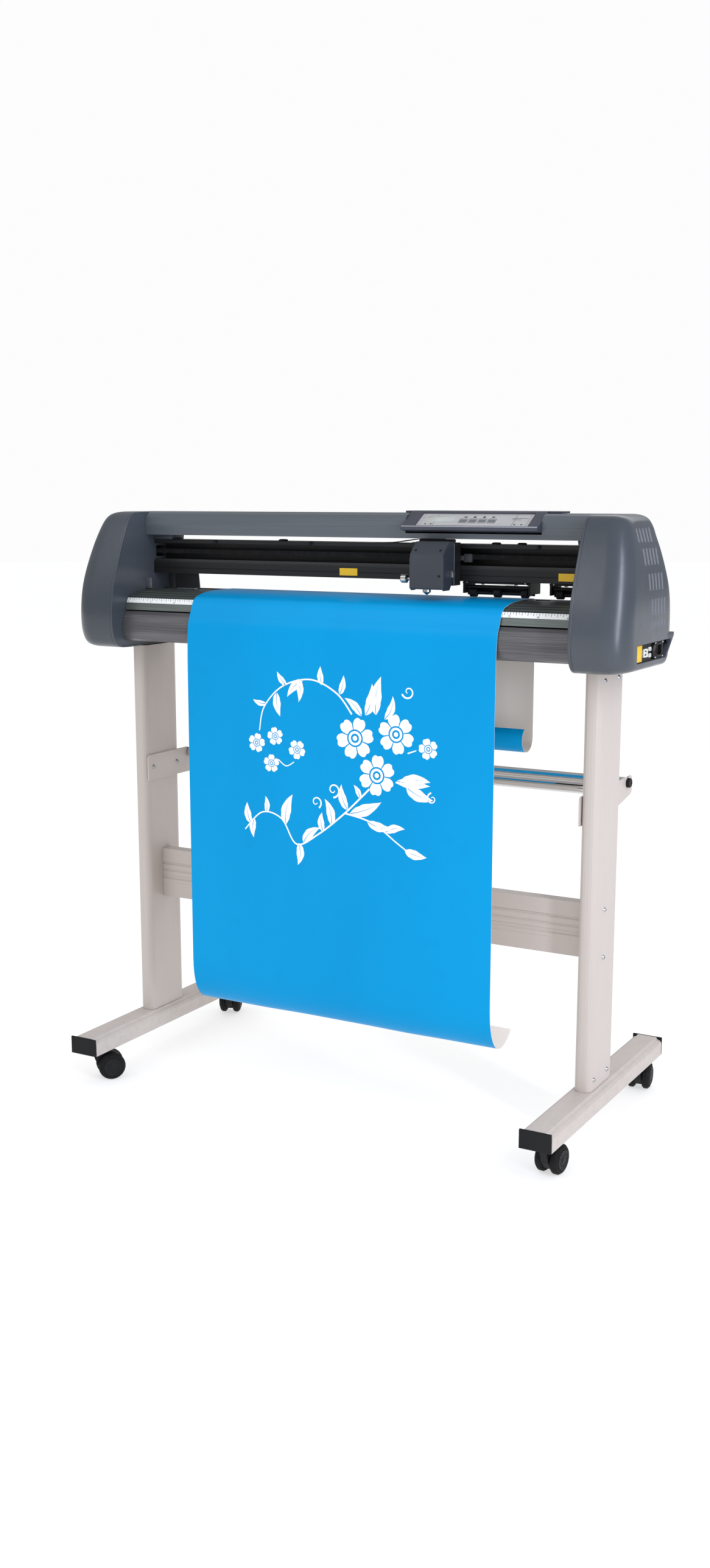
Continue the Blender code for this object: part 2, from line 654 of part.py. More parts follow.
def make_belt_drive():
    outer, inner = PITCH_RADIUS + BELT_THICK / 2, PITCH_RADIUS - BELT_THICK / 2
    loops = []
    for radius in (outer, inner):
        right = arc((PULLEY_X, BELT_Y), radius, -90, 90, 10)
        left = arc((-PULLEY_X, BELT_Y), radius, 90, 270, 10)
        loops.append(right + left)
    belt = extrusion(loops, BELT_Z, BELT_Z + BELT_HEIGHT, "Z")
    add_part("drive_belt", belt, "rubber")
    rim, hub = PITCH_RADIUS - BELT_THICK / 2 - GAP, PITCH_RADIUS + 1.6
    low, high = BELT_Z - 1.8, BELT_Z + BELT_HEIGHT + 1.8
    flanged = [
        (hub, high), (hub, high - 1.2), (rim, high - 1.2), (rim, low + 1.2), (hub, low + 1.2),
        (hub, low),
    ]
    bore = 2.8
    idler = [(bore, high), *flanged, (bore, low)]
    turned("idler_pulley", idler, "steel", "Z", (-PULLEY_X, BELT_Y, 0), 20, ring=True)
    drive = [(0, high), *flanged, (0, low)]
    turned("drive_pulley", drive, "steel", "Z", (PULLEY_X, BELT_Y, 0), 20)
    make_motor("carriage_motor", (PULLEY_X, BELT_Y), "Z", low - 2.6, -46.0, 42.0)


def make_carriage():
    """Sliding plate, its cover, and the tool block with blade holder and clamp knob."""
    plate = add_part(
        "carriage_plate", box((112, -50, 918), (192, RAIL_FRONT - 0.6, 988), 1.0, 1),
        "black_anodised",
    )
    tongue = box((132, -30, 953), (172, BELT_Y - PITCH_RADIUS - BELT_THICK / 2 - 0.5, 975))
    boolean(plate, tongue, "UNION")
    x0, x1 = COVER_X
    outline = [(-88, 911), (-66, 911), (-50.6, 931), (-50.6, 990), (-70, 990), (-92, 970)]
    outline += [(-92, 915)]
    cover = add_part("carriage_cover", extrusion([outline], x0, x1, rounding=1.2), "cap_grey")
    hollow = [(-86, 900), (-40, 900), (-40, 988), (-69.2, 988), (-90, 969), (-90, 904)]
    boolean(cover, extrusion([hollow], x0 + 2, x1 - 2))
    slot = rectangle((TOOL_Y - 4.5, 905), (TOOL_Y + 4.5, 936))
    boolean(cover, extrusion([slot], x0 - 5, x0 + 6))

    slide = add_part(
        "tool_slide", box((135.2, -84, 921), (171, -50.6, 958), 1.0, 1), "steel",
        (CARRIAGE_X, TOOL_Y, 940),
    )
    boolean(slide, rod(7.3, 900, 970, "Z", (CARRIAGE_X, TOOL_Y)))
    boolean(slide, rod(2.4, 120, 141, "X", (TOOL_Y, 929), 14))
    holder = [
        (0, 972), (5, 972), (9, 970), (9, 959), (7, 958.6), (7, 908), (3.5, 905), (0.6, 903),
        (0, 903),
    ]
    turned("blade_holder", holder, "steel", "Z", (CARRIAGE_X, TOOL_Y, 0), 20)
    knob = [(0, 139), (2, 139), (2, 117), (4, 117), (7, 115), (7, 106), (5.5, 104), (0, 104)]
    knob = [(r, h - 110) for r, h in knob]
    turned("clamp_knob", knob, "chrome", "X", (110, TOOL_Y, 929), 20)


# ---------------------------------------------------------------- electrics

def make_electrics():
    board = add_part("main_board", box((499, -84, 858), (501, 30, 960)), "board_green")
    for lo, hi in (((500, -70, 870), (508, -40, 900)), ((500, -20, 880), (512, 5, 905)),
                   ((500, -60, 925), (510, 15, 945))):
        boolean(board, box(lo, hi), "UNION")
    add_part("power_supply", box((-497, -128, 828), (-447, -48, 925), 2.0, 1), "steel")
    wall = CAP_OUTER_X - CAP_WALL - GAP
    y0, y1 = PORT_Y[0] - 3, PORT_Y[1] + 3
    plate = add_part(
        "connector_plate", box((wall - 3, y0, PORT_Z[0] - 1), (wall, y1, PORT_Z[1] + 3)),
        "black_plastic",
    )
    middle = (PORT_Z[0] + PORT_Z[1]) / 2
    inlet_y, switch_y = 12.0, -16.0

    def port(x_range, y, half_width, half_height):
        lo = (x_range[0], y - half_width, middle - half_height)
        hi = (x_range[1], y + half_width, middle + half_height)
        return box(lo, hi)

    boolean(plate, port((wall - 9, wall + 5), inlet_y, 13.3, 11.3))
    boolean(plate, port((wall - 9, wall + 5), switch_y, 7.5, 12.5))
    body = port((wall - 24, wall + 1.2), inlet_y, 13, 11)
    inlet = add_part("power_inlet", body, "black_plastic")
    boolean(inlet, port((wall - 14, wall + 9), inlet_y, 10, 8))
    rocker = [(wall - 8, middle - 5), (wall + 1, middle - 10), (wall + 3.4, middle - 9)]
    rocker += [(wall + 1.8, middle), (wall + 3.4, middle + 9), (wall + 1, middle + 10)]
    rocker += [(wall - 8, middle + 5)]
    add_part(
        "power_switch", extrusion([rocker], switch_y - 6.8, switch_y + 6.8, "Y"), "black_plastic",
        (wall - 4, switch_y, middle),
    )


# ---------------------------------------------------------------- assembly

for side, name in ((-1, "left"), (1, "right")):
    make_foot(side, name)
    make_leg(side, name)
    make_roll_bracket(side, name)
    make_end_cap(side, name)
    make_side_plate(side, name)
make_crossbar()
for name, y in ROLLER_YS.items():
    make_roller(name, y)
for name, yaw in CASTER_YAWS.items():
    place = (POST_X * (-1 if "left" in name else 1), STEM_Y * (-1 if "front" in name else 1))
    make_caster(name, *place, yaw)
make_top_beam()
make_guide_rail()
make_control_panel()
make_platen()
make_apron()
make_base_channel()
make_grit_shaft()
make_motor("feed_motor", (SHAFT_Y, SHAFT_Z), "X", -(HEAD_HALF + 14.5), -50.0, 57.0)
make_sheet()
make_pinch_unit("middle", (195.0, 316.0), [(203, 214), (247, 258), (296, 307)])
make_pinch_unit("right", (350.0, 402.0), [(358, 369), (384, 394)])
make_belt_drive()
make_carriage()
make_electrics()
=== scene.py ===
import json
import math

import bmesh
import bpy
from mathutils import Matrix, Vector


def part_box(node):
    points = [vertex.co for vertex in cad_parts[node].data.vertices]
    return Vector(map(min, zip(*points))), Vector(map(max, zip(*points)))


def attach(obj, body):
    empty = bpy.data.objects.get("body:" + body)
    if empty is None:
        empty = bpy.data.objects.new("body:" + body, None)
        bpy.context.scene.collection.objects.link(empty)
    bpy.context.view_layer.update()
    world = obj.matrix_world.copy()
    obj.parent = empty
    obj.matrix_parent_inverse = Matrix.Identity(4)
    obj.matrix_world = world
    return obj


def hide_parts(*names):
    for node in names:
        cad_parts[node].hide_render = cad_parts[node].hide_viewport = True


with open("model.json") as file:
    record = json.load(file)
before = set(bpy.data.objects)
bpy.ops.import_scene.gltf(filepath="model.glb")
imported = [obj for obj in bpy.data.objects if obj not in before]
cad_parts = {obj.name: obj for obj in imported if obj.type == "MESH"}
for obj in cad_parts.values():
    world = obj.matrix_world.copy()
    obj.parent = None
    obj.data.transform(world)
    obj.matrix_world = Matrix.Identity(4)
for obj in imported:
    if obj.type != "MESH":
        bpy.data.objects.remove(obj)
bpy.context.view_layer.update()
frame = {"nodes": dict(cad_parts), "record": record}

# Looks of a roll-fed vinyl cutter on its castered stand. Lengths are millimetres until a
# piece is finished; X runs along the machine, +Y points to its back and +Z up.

MM = 0.001
SIDES = ((-1, "left"), (1, "right"))
SCENE = bpy.context.scene


# ---------------------------------------------------------------- node graphs

def paint(red, green, blue):
    """A display colour of 0 to 255 a channel as the linear colour that shaders use."""
    def linear(value):
        value /= 255
        return value / 12.92 if value <= 0.04045 else ((value + 0.055) / 1.055) ** 2.4
    return (linear(red), linear(green), linear(blue), 1.0)


class Field:
    """A node socket that takes part in arithmetic, adding its Math nodes as it goes."""

    def __init__(self, graph, socket):
        self.graph = graph
        self.socket = socket

    def join(self, operation, first, second=0.0):
        settings = {"operation": operation}
        return self.graph.node("ShaderNodeMath", settings, {0: first, 1: second})

    def __add__(self, other):
        return self.join("ADD", self, other)

    def __radd__(self, other):
        return self.join("ADD", other, self)

    def __sub__(self, other):
        return self.join("SUBTRACT", self, other)

    def __rsub__(self, other):
        return self.join("SUBTRACT", other, self)

    def __mul__(self, other):
        return self.join("MULTIPLY", self, other)

    def __rmul__(self, other):
        return self.join("MULTIPLY", other, self)

    def __truediv__(self, other):
        return self.join("DIVIDE", self, other)

    def __mod__(self, other):
        return self.join("FLOORED_MODULO", self, other)

    def __lt__(self, other):
        return self.join("LESS_THAN", self, other)

    def __gt__(self, other):
        return self.join("GREATER_THAN", self, other)

    def __abs__(self):
        return self.join("ABSOLUTE", self)


class Graph:
    """A node tree under construction."""

    def __init__(self, tree):
        self.tree = tree

    def node(self, kind, settings=None, sockets=None, output=0):
        """Adds a node: its settings first, then its sockets' values or links."""
        made = self.tree.nodes.new(kind)
        for name, value in (settings or {}).items():
            if name == "stops":
                self.set_stops(made.color_ramp, value)
            else:
                setattr(made, name, value)
        for key, value in (sockets or {}).items():
            if isinstance(value, Field):
                self.tree.links.new(value.socket, made.inputs[key])
            else:
                made.inputs[key].default_value = value
        return Field(self, made.outputs[output]) if made.outputs else None

    @staticmethod
    def set_stops(ramp, stops):
        for place, _ in stops[1:-1]:
            ramp.elements.new(place)
        for element, (place, colour) in zip(ramp.elements, stops):
            element.position = place
            element.color = colour


class Finish(Graph):
    """A material under construction, patterned on the piece's own coordinates in metres."""

    def __init__(self, name):
        self.material = bpy.data.materials.new(name)
        self.material.use_nodes = True
        super().__init__(self.material.node_tree)
        self.tree.nodes.clear()
        self.place = self.node("ShaderNodeTexCoord", output="Object")
        self.x = self.node("ShaderNodeSeparateXYZ", None, {0: self.place})
        self.y = Field(self, self.x.socket.node.outputs[1])
        self.z = Field(self, self.x.socket.node.outputs[2])

    def clouds(self, scale, stretch=(1, 1, 1), detail=3.0, shift=0.0, source=None):
        sockets = {"Vector": source or self.place, "Location": (shift,) * 3, "Scale": stretch}
        moved = self.node("ShaderNodeMapping", None, sockets)
        sockets = {"Vector": moved, "Scale": scale, "Detail": detail}
        return self.node("ShaderNodeTexNoise", None, sockets)

    def fade(self, value, low, high, start=0.0, end=1.0):
        sockets = {0: value, 1: low, 2: high, 3: start, 4: end}
        return self.node("ShaderNodeMapRange", None, sockets)

    def blend(self, share, first, second):
        settings = {"data_type": "RGBA"}
        return self.node("ShaderNodeMix", settings, {0: share, 6: first, 7: second}, 2)

    def relief(self, height, depth, under=None):
        sockets = {"Strength": 1.0, "Distance": depth, "Height": height}
        if under:
            sockets["Normal"] = under
        return self.node("ShaderNodeBump", None, sockets)

    def groove(self, value, centre, width):
        """One inside a narrow band of a coordinate, zero outside it."""
        return self.fade(abs(value - centre), width * 0.3, width * 0.6, 1.0, 0.0)

    def close(self, colour, roughness, metallic=0.0, normal=None, **fixed):
        sockets = {"Base Color": colour, "Roughness": roughness, "Metallic": metallic}
        if normal:
            sockets["Normal"] = normal
        for name, value in fixed.items():
            sockets[name.replace("_", " ").title().replace("Ior", "IOR")] = value
        shader = self.node("ShaderNodeBsdfPrincipled", None, sockets)
        self.node("ShaderNodeOutputMaterial", None, {"Surface": shader})
        return self.material


# ---------------------------------------------------------------- finishes

def moulded(name, tone, shade, roughness=0.45, grain=1300.0, depth=3e-5, scuff=None, gloss=0.5):
    """Satin moulded plastic: spark-eroded grain, slow drift of tone and faint handling marks."""
    f = Finish(name)
    drift = f.fade(f.clouds(5.0, detail=2.0), 0.35, 0.65)
    smudge = f.clouds(34.0, detail=4.0, shift=3.1)
    colour = f.blend(drift, tone, shade)
    if scuff:
        hair = f.clouds(420.0, (1, 0.05, 0.3), 2.0, 7.7)
        marks = f.fade(hair, 0.68, 0.76) * f.fade(smudge, 0.52, 0.7, 0.0, 0.35)
        colour = f.blend(marks, colour, scuff)
    rough = roughness + (smudge - 0.5) * 0.16
    normal = f.relief(f.clouds(grain, detail=2.0), depth)
    return f.close(colour, rough, 0.0, normal, specular_ior_level=gloss)


def powder_coat(name, tone, shade, along):
    """Cream powder coat on an extrusion: orange peel, drawn streaks along it, patchy dust low down.
    """
    f = Finish(name)
    stretch = {"X": (0.03, 1, 1), "Y": (1, 0.03, 1), "Z": (1, 1, 0.03)}[along]
    streak = f.fade(f.clouds(300.0, stretch, 2.0), 0.3, 0.7)
    drift = f.fade(f.clouds(3.0, detail=2.0, shift=1.7), 0.35, 0.65, 0.0, 0.6)
    colour = f.blend(streak * 0.22 + drift * 0.4, tone, shade)
    dust = f.fade(f.z, 0.04, 0.14, 0.22, 0.0) * f.fade(f.clouds(60.0, detail=4.0), 0.4, 0.7)
    colour = f.blend(dust, colour, paint(140, 128, 116))
    peel = f.clouds(520.0, detail=2.0, shift=4.4)
    rough = 0.42 + streak * 0.06 + (peel - 0.5) * 0.12
    normal = f.relief(peel, 4e-5, f.relief(streak, 3e-5))
    return f.close(colour, rough, 0.0, normal, coat_weight=0.12, coat_roughness=0.3)


def drawn_metal(name, tone, shade, roughness, metallic, stretch=(0.01, 1, 1), scale=900.0):
    """Metal with fine lines along its length, left by drawing, brushing or grinding."""
    f = Finish(name)
    lines = f.clouds(scale, stretch, 3.0)
    broad = f.clouds(70.0, stretch, 2.0, 2.2)
    handled = f.clouds(26.0, detail=4.0, shift=5.0)
    colour = f.blend(f.fade(lines * 0.5 + broad * 0.5, 0.36, 0.64), tone, shade)
    rough = roughness + (lines - 0.5) * 0.16 + (handled - 0.5) * 0.1
    return f.close(colour, rough, metallic, f.relief(lines, 1.5e-5))


def rail_finish():
    """Black anodised rail with its extruded step, a painted highlight along the step's top edge,
    and hairline grooves.
    """
    f = Finish("rail_anodised")
    lines = f.clouds(1100.0, (0.008, 1, 1), 3.0)
    handled = f.clouds(24.0, detail=4.0, shift=5.0)
    colour = f.blend(f.fade(lines, 0.35, 0.68), paint(34, 34, 35), paint(46, 46, 47))
    # Lighter band at the step's top edge: a painted highlight where light catches the ledge.
    ledge_highlight = f.fade(f.z, 0.9445, 0.9465) * f.fade(f.z, 0.949, 0.951, 1.0, 0.0)
    colour = f.blend(ledge_highlight * 0.4, colour, paint(60, 61, 63))
    lower = f.fade(f.z, 0.943, 0.945, 1.0, 0.0)
    colour = f.blend(lower * 0.6, colour, paint(24, 24, 26))
    cuts = f.groove(f.z, 0.934, 0.0012) + f.groove(f.z, 0.9785, 0.001)
    colour = f.blend(cuts * 0.6, colour, paint(14, 14, 15))
    rough = 0.4 + (lines - 0.5) * 0.14 + (handled - 0.5) * 0.12
    normal = f.relief(1.0 - cuts, 4e-4, f.relief(lines, 1.5e-5))
    return f.close(colour, rough, 0.35, normal)


def platen_finish():
    """Grey anodised bed: fine ribs across the feed, with darker valleys between them."""
    f = Finish("platen_ribbed")
    lines = f.clouds(1000.0, (0.01, 1, 1), 3.0)
    along = f.y * 0.92 - f.z * 0.35
    wave = abs((along / 0.0085) % 1.0 - 0.5) * 2.0
    rib = f.fade(wave, 0.25, 0.55)
    colour = f.blend(f.fade(lines, 0.35, 0.65), paint(84, 91, 89), paint(104, 112, 109))
    colour = f.blend((1.0 - rib) * 0.7, colour, paint(50, 54, 55))
    rough = 0.36 + (lines - 0.5) * 0.12 + (1.0 - rib) * 0.1
    return f.close(colour, rough, 0.45, f.relief(rib, 5e-4, f.relief(lines, 1e-5)))


def apron_finish():
    """Satin silver skin with slow bands along its length."""
    f = Finish("apron_satin")
    lines = f.clouds(1000.0, (0.01, 1, 1), 3.0)
    band = f.clouds(45.0, (0.05, 1, 1), 2.0, 8.0)
    colour = f.blend(f.fade(lines * 0.6 + band * 0.4, 0.38, 0.62), paint(84, 84, 88),
                     paint(112, 111, 114))
    rough = 0.4 + (lines - 0.5) * 0.12
    return f.close(colour, rough, 0.5, f.relief(lines, 1.2e-5))


def ruler_finish():
    """White tape with a tick each 5 mm and a longer one each 10 mm."""
    f = Finish("ruler_tape_print")
    paper = f.clouds(300.0, detail=2.0)
    colour = f.blend(f.fade(paper, 0.3, 0.7), paint(222, 226, 228), paint(236, 238, 239))

    def ticks(pitch, width, low):
        near = abs((f.x / pitch + 0.5) % 1.0 - 0.5) * pitch < width / 2
        return near * (f.z > low)

    fine = ticks(0.005, 0.0007, 0.8797)
    coarse = ticks(0.010, 0.0009, 0.8782)
    mark = f.fade(fine + coarse, 0.0, 1.0)
    colour = f.blend(mark * 0.9, colour, paint(38, 42, 48))
    return f.close(colour, 0.42 + (paper - 0.5) * 0.1, 0.0, f.relief(paper, 1e-5))


def overlay_finish():
    """Brushed silver keypad film with a printed border and a bevelled edge line."""
    f = Finish("keypad_film")
    lo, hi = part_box("panel_overlay")
    middle, half = (lo.x + hi.x) / 2, (hi.x - lo.x) / 2
    rise = (f.z - (lo.z + hi.z) / 2) * (1 / (hi.z - lo.z))
    lines = f.clouds(900.0, (0.02, 1, 1), 3.0)
    across = abs(f.x - middle) * (1 / half)
    upright = abs(rise) * 2.0
    edge = f.node("ShaderNodeMath", {"operation": "MAXIMUM"}, {0: across - 0.04, 1: upright - 0.2})
    border = f.groove(edge, 0.90, 0.012) + f.groove(edge, 0.66, 0.02)
    border = f.fade(border, 0.0, 1.0)
    colour = f.blend(f.fade(lines, 0.35, 0.65), paint(176, 176, 178), paint(196, 196, 198))
    colour = f.blend(border * 0.5, colour, paint(104, 105, 110))
    rough = 0.34 + (lines - 0.5) * 0.16
    return f.close(colour, rough, 0.25, f.relief(border, 6e-5, f.relief(lines, 1e-5)))


def rubber_finish(name, tone, shade, ribs=0.0):
    """Matt rubber with bloom; ribs is the pitch of moulded ribs along X, or zero."""
    f = Finish(name)
    bloom = f.clouds(90.0, detail=4.0)
    colour = f.blend(f.fade(bloom, 0.45, 0.7), tone, shade)
    fine = f.clouds(1500.0, detail=2.0, shift=2.0)
    normal = f.relief(fine, 4e-5)
    if ribs:
        normal = f.relief(abs((f.x / ribs) % 1.0 - 0.5), ribs * 0.4, normal)
    return f.close(colour, 0.78 + (bloom - 0.5) * 0.2, 0.0, normal, specular_ior_level=0.25)


def grit_finish():
    """Ground shaft whose drums carry a fine grit."""
    f = Finish("grit_shaft_ground")
    spread = f.node("ShaderNodeVectorMath", {"operation": "MULTIPLY"},
                    {0: f.place, 1: (0.0, 1.0, 1.0)})
    centre = f.node("ShaderNodeVectorMath", {"operation": "DISTANCE"},
                    {0: spread, 1: (0.0, -0.008, 0.8856)}, "Value")
    drum = f.fade(centre, 0.0095, 0.0105)
    grains = f.node("ShaderNodeTexVoronoi", None, {"Vector": f.place, "Scale": 2200.0})
    lines = f.clouds(900.0, (0.02, 1, 1), 2.0)
    colour = f.blend(f.fade(lines, 0.3, 0.7), paint(176, 178, 182), paint(204, 205, 208))
    colour = f.blend(drum * f.fade(grains, 0.2, 0.6, 0.9, 0.3), colour, paint(120, 121, 124))
    return f.close(colour, 0.3 + drum * 0.35, 0.9, f.relief(grains * drum, 1.2e-4))


def board_finish():
    """Green solder mask with tracks and pads."""
    f = Finish("circuit_board")
    grid = f.node("ShaderNodeTexVoronoi", {"distance": "MANHATTAN"},
                  {"Vector": f.place, "Scale": 170.0, "Randomness": 0.35})
    track = f.fade(abs((grid * 6.0) % 1.0 - 0.5), 0.06, 0.12, 1.0, 0.0)
    colour = f.blend(track * 0.5, paint(16, 84, 44), paint(58, 138, 84))
    chip = f.x > 0.5015
    colour = f.blend(chip, colour, paint(28, 28, 30))
    return f.close(colour, 0.4 + track * 0.1, 0.0, f.relief(track, 3e-5))


def film_finish(name, tone, shade, deep, roughness, gloss=0.3):
    """Calendered vinyl film, patterned along and across the web on its own UV map."""
    f = Finish(name)
    web = f.node("ShaderNodeUVMap", {"uv_map": "web"})
    broad = f.clouds(4.0, (1.0, 0.35, 1.0), 2.0, source=web)
    fine = f.clouds(900.0, (1.0, 0.25, 1.0), 2.0, 3.0, source=web)
    colour = f.blend(f.fade(broad, 0.35, 0.65), tone, shade)
    patches = f.fade(f.clouds(22.0, detail=3.0, source=web), 0.6, 0.75, 0.0, 0.25)
    colour = f.blend(patches, colour, deep)
    pull = f.clouds(11.0, (2.4, 0.25, 1.0), 2.0, 6.0, source=web)
    normal = f.relief(fine, 6e-6, f.relief(pull, 5e-4))
    rough = roughness + (fine - 0.5) * 0.08
    return f.close(colour, rough, 0.0, normal, specular_ior_level=gloss)


CAP = moulded("cover_plastic", paint(60, 66, 74), paint(70, 75, 83), 0.3,
               scuff=paint(110, 114, 122))
BEAM = drawn_metal("beam_paint", paint(80, 87, 94), paint(90, 95, 102), 0.34, 0.0, scale=500.0)
PANEL = moulded("panel_plastic", paint(60, 63, 74), paint(68, 71, 82), 0.42)
BLACK = moulded("black_plastic", paint(20, 20, 21), paint(27, 27, 28), 0.5,
                 scuff=paint(50, 50, 52), gloss=0.2)
CARRIAGE = moulded("carriage_plastic", paint(46, 52, 60), paint(54, 58, 66), 0.42)
# Light grey for slot walls and the tray's lip strip: a painted highlight, not the plastic's own
# colour.
EDGE_HIGHLIGHT = moulded("vent_edge", paint(150, 154, 164), paint(162, 165, 173), 0.4)
GUARD = moulded("guard_plastic", paint(66, 67, 70), paint(74, 75, 78), 0.5)
KEYS = moulded("key_plastic", paint(96, 99, 106), paint(108, 110, 116), 0.5)
WHITE = moulded("socket_plastic", paint(226, 226, 222), paint(214, 214, 210), 0.4)
LABEL = moulded("label_film", paint(228, 186, 32), paint(218, 174, 26), 0.45, 600.0, 1e-5)
DARK = moulded("printed_ink", paint(52, 54, 60), paint(60, 62, 68), 0.5, 600.0, 1e-5)
CREAM = {
    axis: powder_coat(f"cream_coat_{axis.lower()}", paint(194, 185, 179),
                      paint(186, 176, 170), axis)
    for axis in "XYZ"
}
RAIL = rail_finish()
ANODISED = drawn_metal("black_anodised", paint(30, 30, 32), paint(44, 44, 46), 0.4, 0.4)
PLATEN = platen_finish()
APRON = apron_finish()
RULER = ruler_finish()
OVERLAY = overlay_finish()
CHROME = drawn_metal("polished_chrome", paint(222, 220, 218), paint(206, 204, 203), 0.13, 1.0,
                     (0.02, 1, 1), 600.0)
STEEL = drawn_metal("ground_steel", paint(186, 187, 190), paint(160, 161, 165), 0.3, 0.95)
ALLOY = drawn_metal("tool_alloy", paint(170, 171, 174), paint(150, 151, 155), 0.36, 0.9,
                    (1, 1, 0.02))
BRASS = drawn_metal("pin_brass", paint(206, 178, 110), paint(190, 160, 92), 0.3, 0.95)
RUBBER = rubber_finish("caster_rubber", paint(17, 17, 18), paint(27, 26, 26))
PINCH = rubber_finish("pinch_rubber", paint(30, 30, 32), paint(44, 44, 46), 0.0009)
BELT = rubber_finish("belt_rubber", paint(22, 22, 23), paint(34, 34, 35), 0.002)
GRIT = grit_finish()
BOARD = board_finish()
FILM = film_finish("vinyl_film", paint(0, 151, 213), paint(0, 145, 207),
                   paint(0, 139, 201), 0.34, 0.1)
LINER = film_finish("release_liner", paint(241, 236, 231), paint(237, 231, 225),
                    paint(231, 224, 217), 0.6)
CUT_WHITE = film_finish("white_film", paint(248, 249, 250), paint(243, 245, 247),
                        paint(240, 242, 244), 0.4)

SLOT_FINISH = {
    "black_plastic": BLACK, "rubber": RUBBER, "cap_plastic": CAP, "beam_paint": BEAM,
    "black_anodised": ANODISED, "overlay_film": OVERLAY, "key_plastic": KEYS,
    "platen_alloy": PLATEN, "apron_alloy": APRON, "tape_white": RULER, "chrome": CHROME,
    "steel": STEEL, "tool_alloy": ALLOY, "circuit_board": BOARD, "vinyl_film": FILM,
    "beige_paint": CREAM["Z"],
}
NODE_FINISH = {
    "left_foot": CREAM["Y"], "right_foot": CREAM["Y"], "crossbar": CREAM["X"],
    "left_roll_bracket": CREAM["Y"], "right_roll_bracket": CREAM["Y"], "guide_rail": RAIL,
    "panel_bezel": PANEL, "carriage_cover": CARRIAGE, "pinch_wheels_middle": PINCH,
    "pinch_wheels_right": PINCH, "drive_belt": BELT, "grit_shaft": GRIT,
}
for part in frame["record"]["subparts"]:
    node = frame["nodes"][part["node"]]
    chosen = NODE_FINISH.get(node.name, SLOT_FINISH[part["material_slot"]])
    for place in node.material_slots:
        place.material = chosen


# ---------------------------------------------------------------- shaping helpers

AXES = {"X": Matrix(((0, 0, 1), (1, 0, 0), (0, 1, 0))),
        "Y": Matrix(((1, 0, 0), (0, 0, 1), (0, 1, 0))),
        "Z": Matrix.Identity(3)}


def joined(*shapes):
    """Gathers several meshes into the first."""
    whole = shapes[0]
    for other in shapes[1:]:
        spare = bpy.data.meshes.new("spare")
        other.to_mesh(spare)
        other.free()
        whole.from_mesh(spare)
        bpy.data.meshes.remove(spare)
    return whole


def softened(bm, bevel, segments=2):
    if bevel:
        sharp = [e for e in bm.edges if e.is_manifold and e.calc_face_angle() > 0.4]
        bmesh.ops.bevel(bm, geom=sharp, offset=bevel, segments=segments, affect="EDGES",
                        profile=0.5, clamp_overlap=True)
    return bm


def prism(outline, start, end, axis="X", bevel=0.0, hole=None):
    """Extrudes an outline along an axis; a hole has as many points as the outline."""
    bm = bmesh.new()
    rings = []
    for loop in (outline, hole) if hole else (outline,):
        for depth in (start, end):
            rings.append([bm.verts.new(AXES[axis] @ Vector((u, v, depth))) for u, v in loop])
    count = len(outline)
    pairs = [(rings[0], rings[1])] + ([(rings[3], rings[2])] if hole else [])
    if hole:
        pairs += [(rings[2], rings[0]), (rings[1], rings[3])]
    else:
        bm.faces.new(rings[0][::-1])
        bm.faces.new(rings[1])
    for near, far in pairs:
        for i in range(count):
            j = (i + 1) % count
            bm.faces.new((near[i], near[j], far[j], far[i]))
    bmesh.ops.recalc_face_normals(bm, faces=bm.faces)
    return softened(bm, bevel)


def block(lo, hi, bevel=0.6):
    outline = [(lo[1], lo[2]), (hi[1], lo[2]), (hi[1], hi[2]), (lo[1], hi[2])]
    return prism(outline, lo[0], hi[0], "X", bevel)


def lathe(profile, centre, axis="X", steps=24):
    """Turns (radius, distance) points about an axis through centre; both ends close on it."""
    bm = bmesh.new()
    rings = []
    for radius, along in profile:
        if radius == 0:
            rings.append([bm.verts.new(AXES[axis] @ Vector((0, 0, along)))])
            continue
        turn = [math.tau * i / steps for i in range(steps)]
        rings.append([
            bm.verts.new(AXES[axis] @ Vector((radius * math.cos(a), radius * math.sin(a), along)))
            for a in turn
        ])
    for near, far in zip(rings, rings[1:]):
        for i in range(steps):
            corners = [near[i % len(near)], near[(i + 1) % len(near)],
                       far[(i + 1) % len(far)], far[i % len(far)]]
            bm.faces.new(list(dict.fromkeys(corners)))
    bmesh.ops.translate(bm, vec=centre, verts=bm.verts)
    bmesh.ops.recalc_face_normals(bm, faces=bm.faces)
    return bm


def eased(points, passes=2, closed=True, share=0.27):
    """Rounds the corners of an outline without leaving it, keeping its straight runs."""
    for _ in range(passes):
        count = len(points)
        rounded = []
        for i, point in enumerate(points):
            if not closed and i in (0, count - 1):
                rounded.append(point)
                continue
            here = Vector(point)
            back = Vector(points[i - 1]) - here
            ahead = Vector(points[(i + 1) % count]) - here
            reach = share * min(back.length, ahead.length)
            rounded.append(tuple(here + back.normalized() * reach))
            rounded.append(tuple(here + ahead.normalized() * reach))
        points = rounded
    return points


def arc(centre, radius, first, last, steps):
    angles = [math.radians(first + (last - first) * i / steps) for i in range(steps + 1)]
    return [(centre[0] + radius * math.cos(a), centre[1] + radius * math.sin(a)) for a in angles]


def stand_in(name, bm):
    """An object in metres from a mesh in millimetres."""
    mesh = bpy.data.meshes.new(name)
    bm.to_mesh(mesh)
    bm.free()
    mesh.transform(Matrix.Scale(MM, 4))
    made = bpy.data.objects.new(name, mesh)
    SCENE.collection.objects.link(made)
    return made


def finished_mesh(made):
    """The mesh of an object as its modifiers or curve settings leave it."""
    bpy.context.view_layer.update()
    seen = made.evaluated_get(bpy.context.evaluated_depsgraph_get())
    return bpy.data.meshes.new_from_object(seen)


def settle(made):
    """Applies an object's modifiers to its mesh."""
    mesh = finished_mesh(made)
    made.modifiers.clear()
    made.data = mesh
    return made


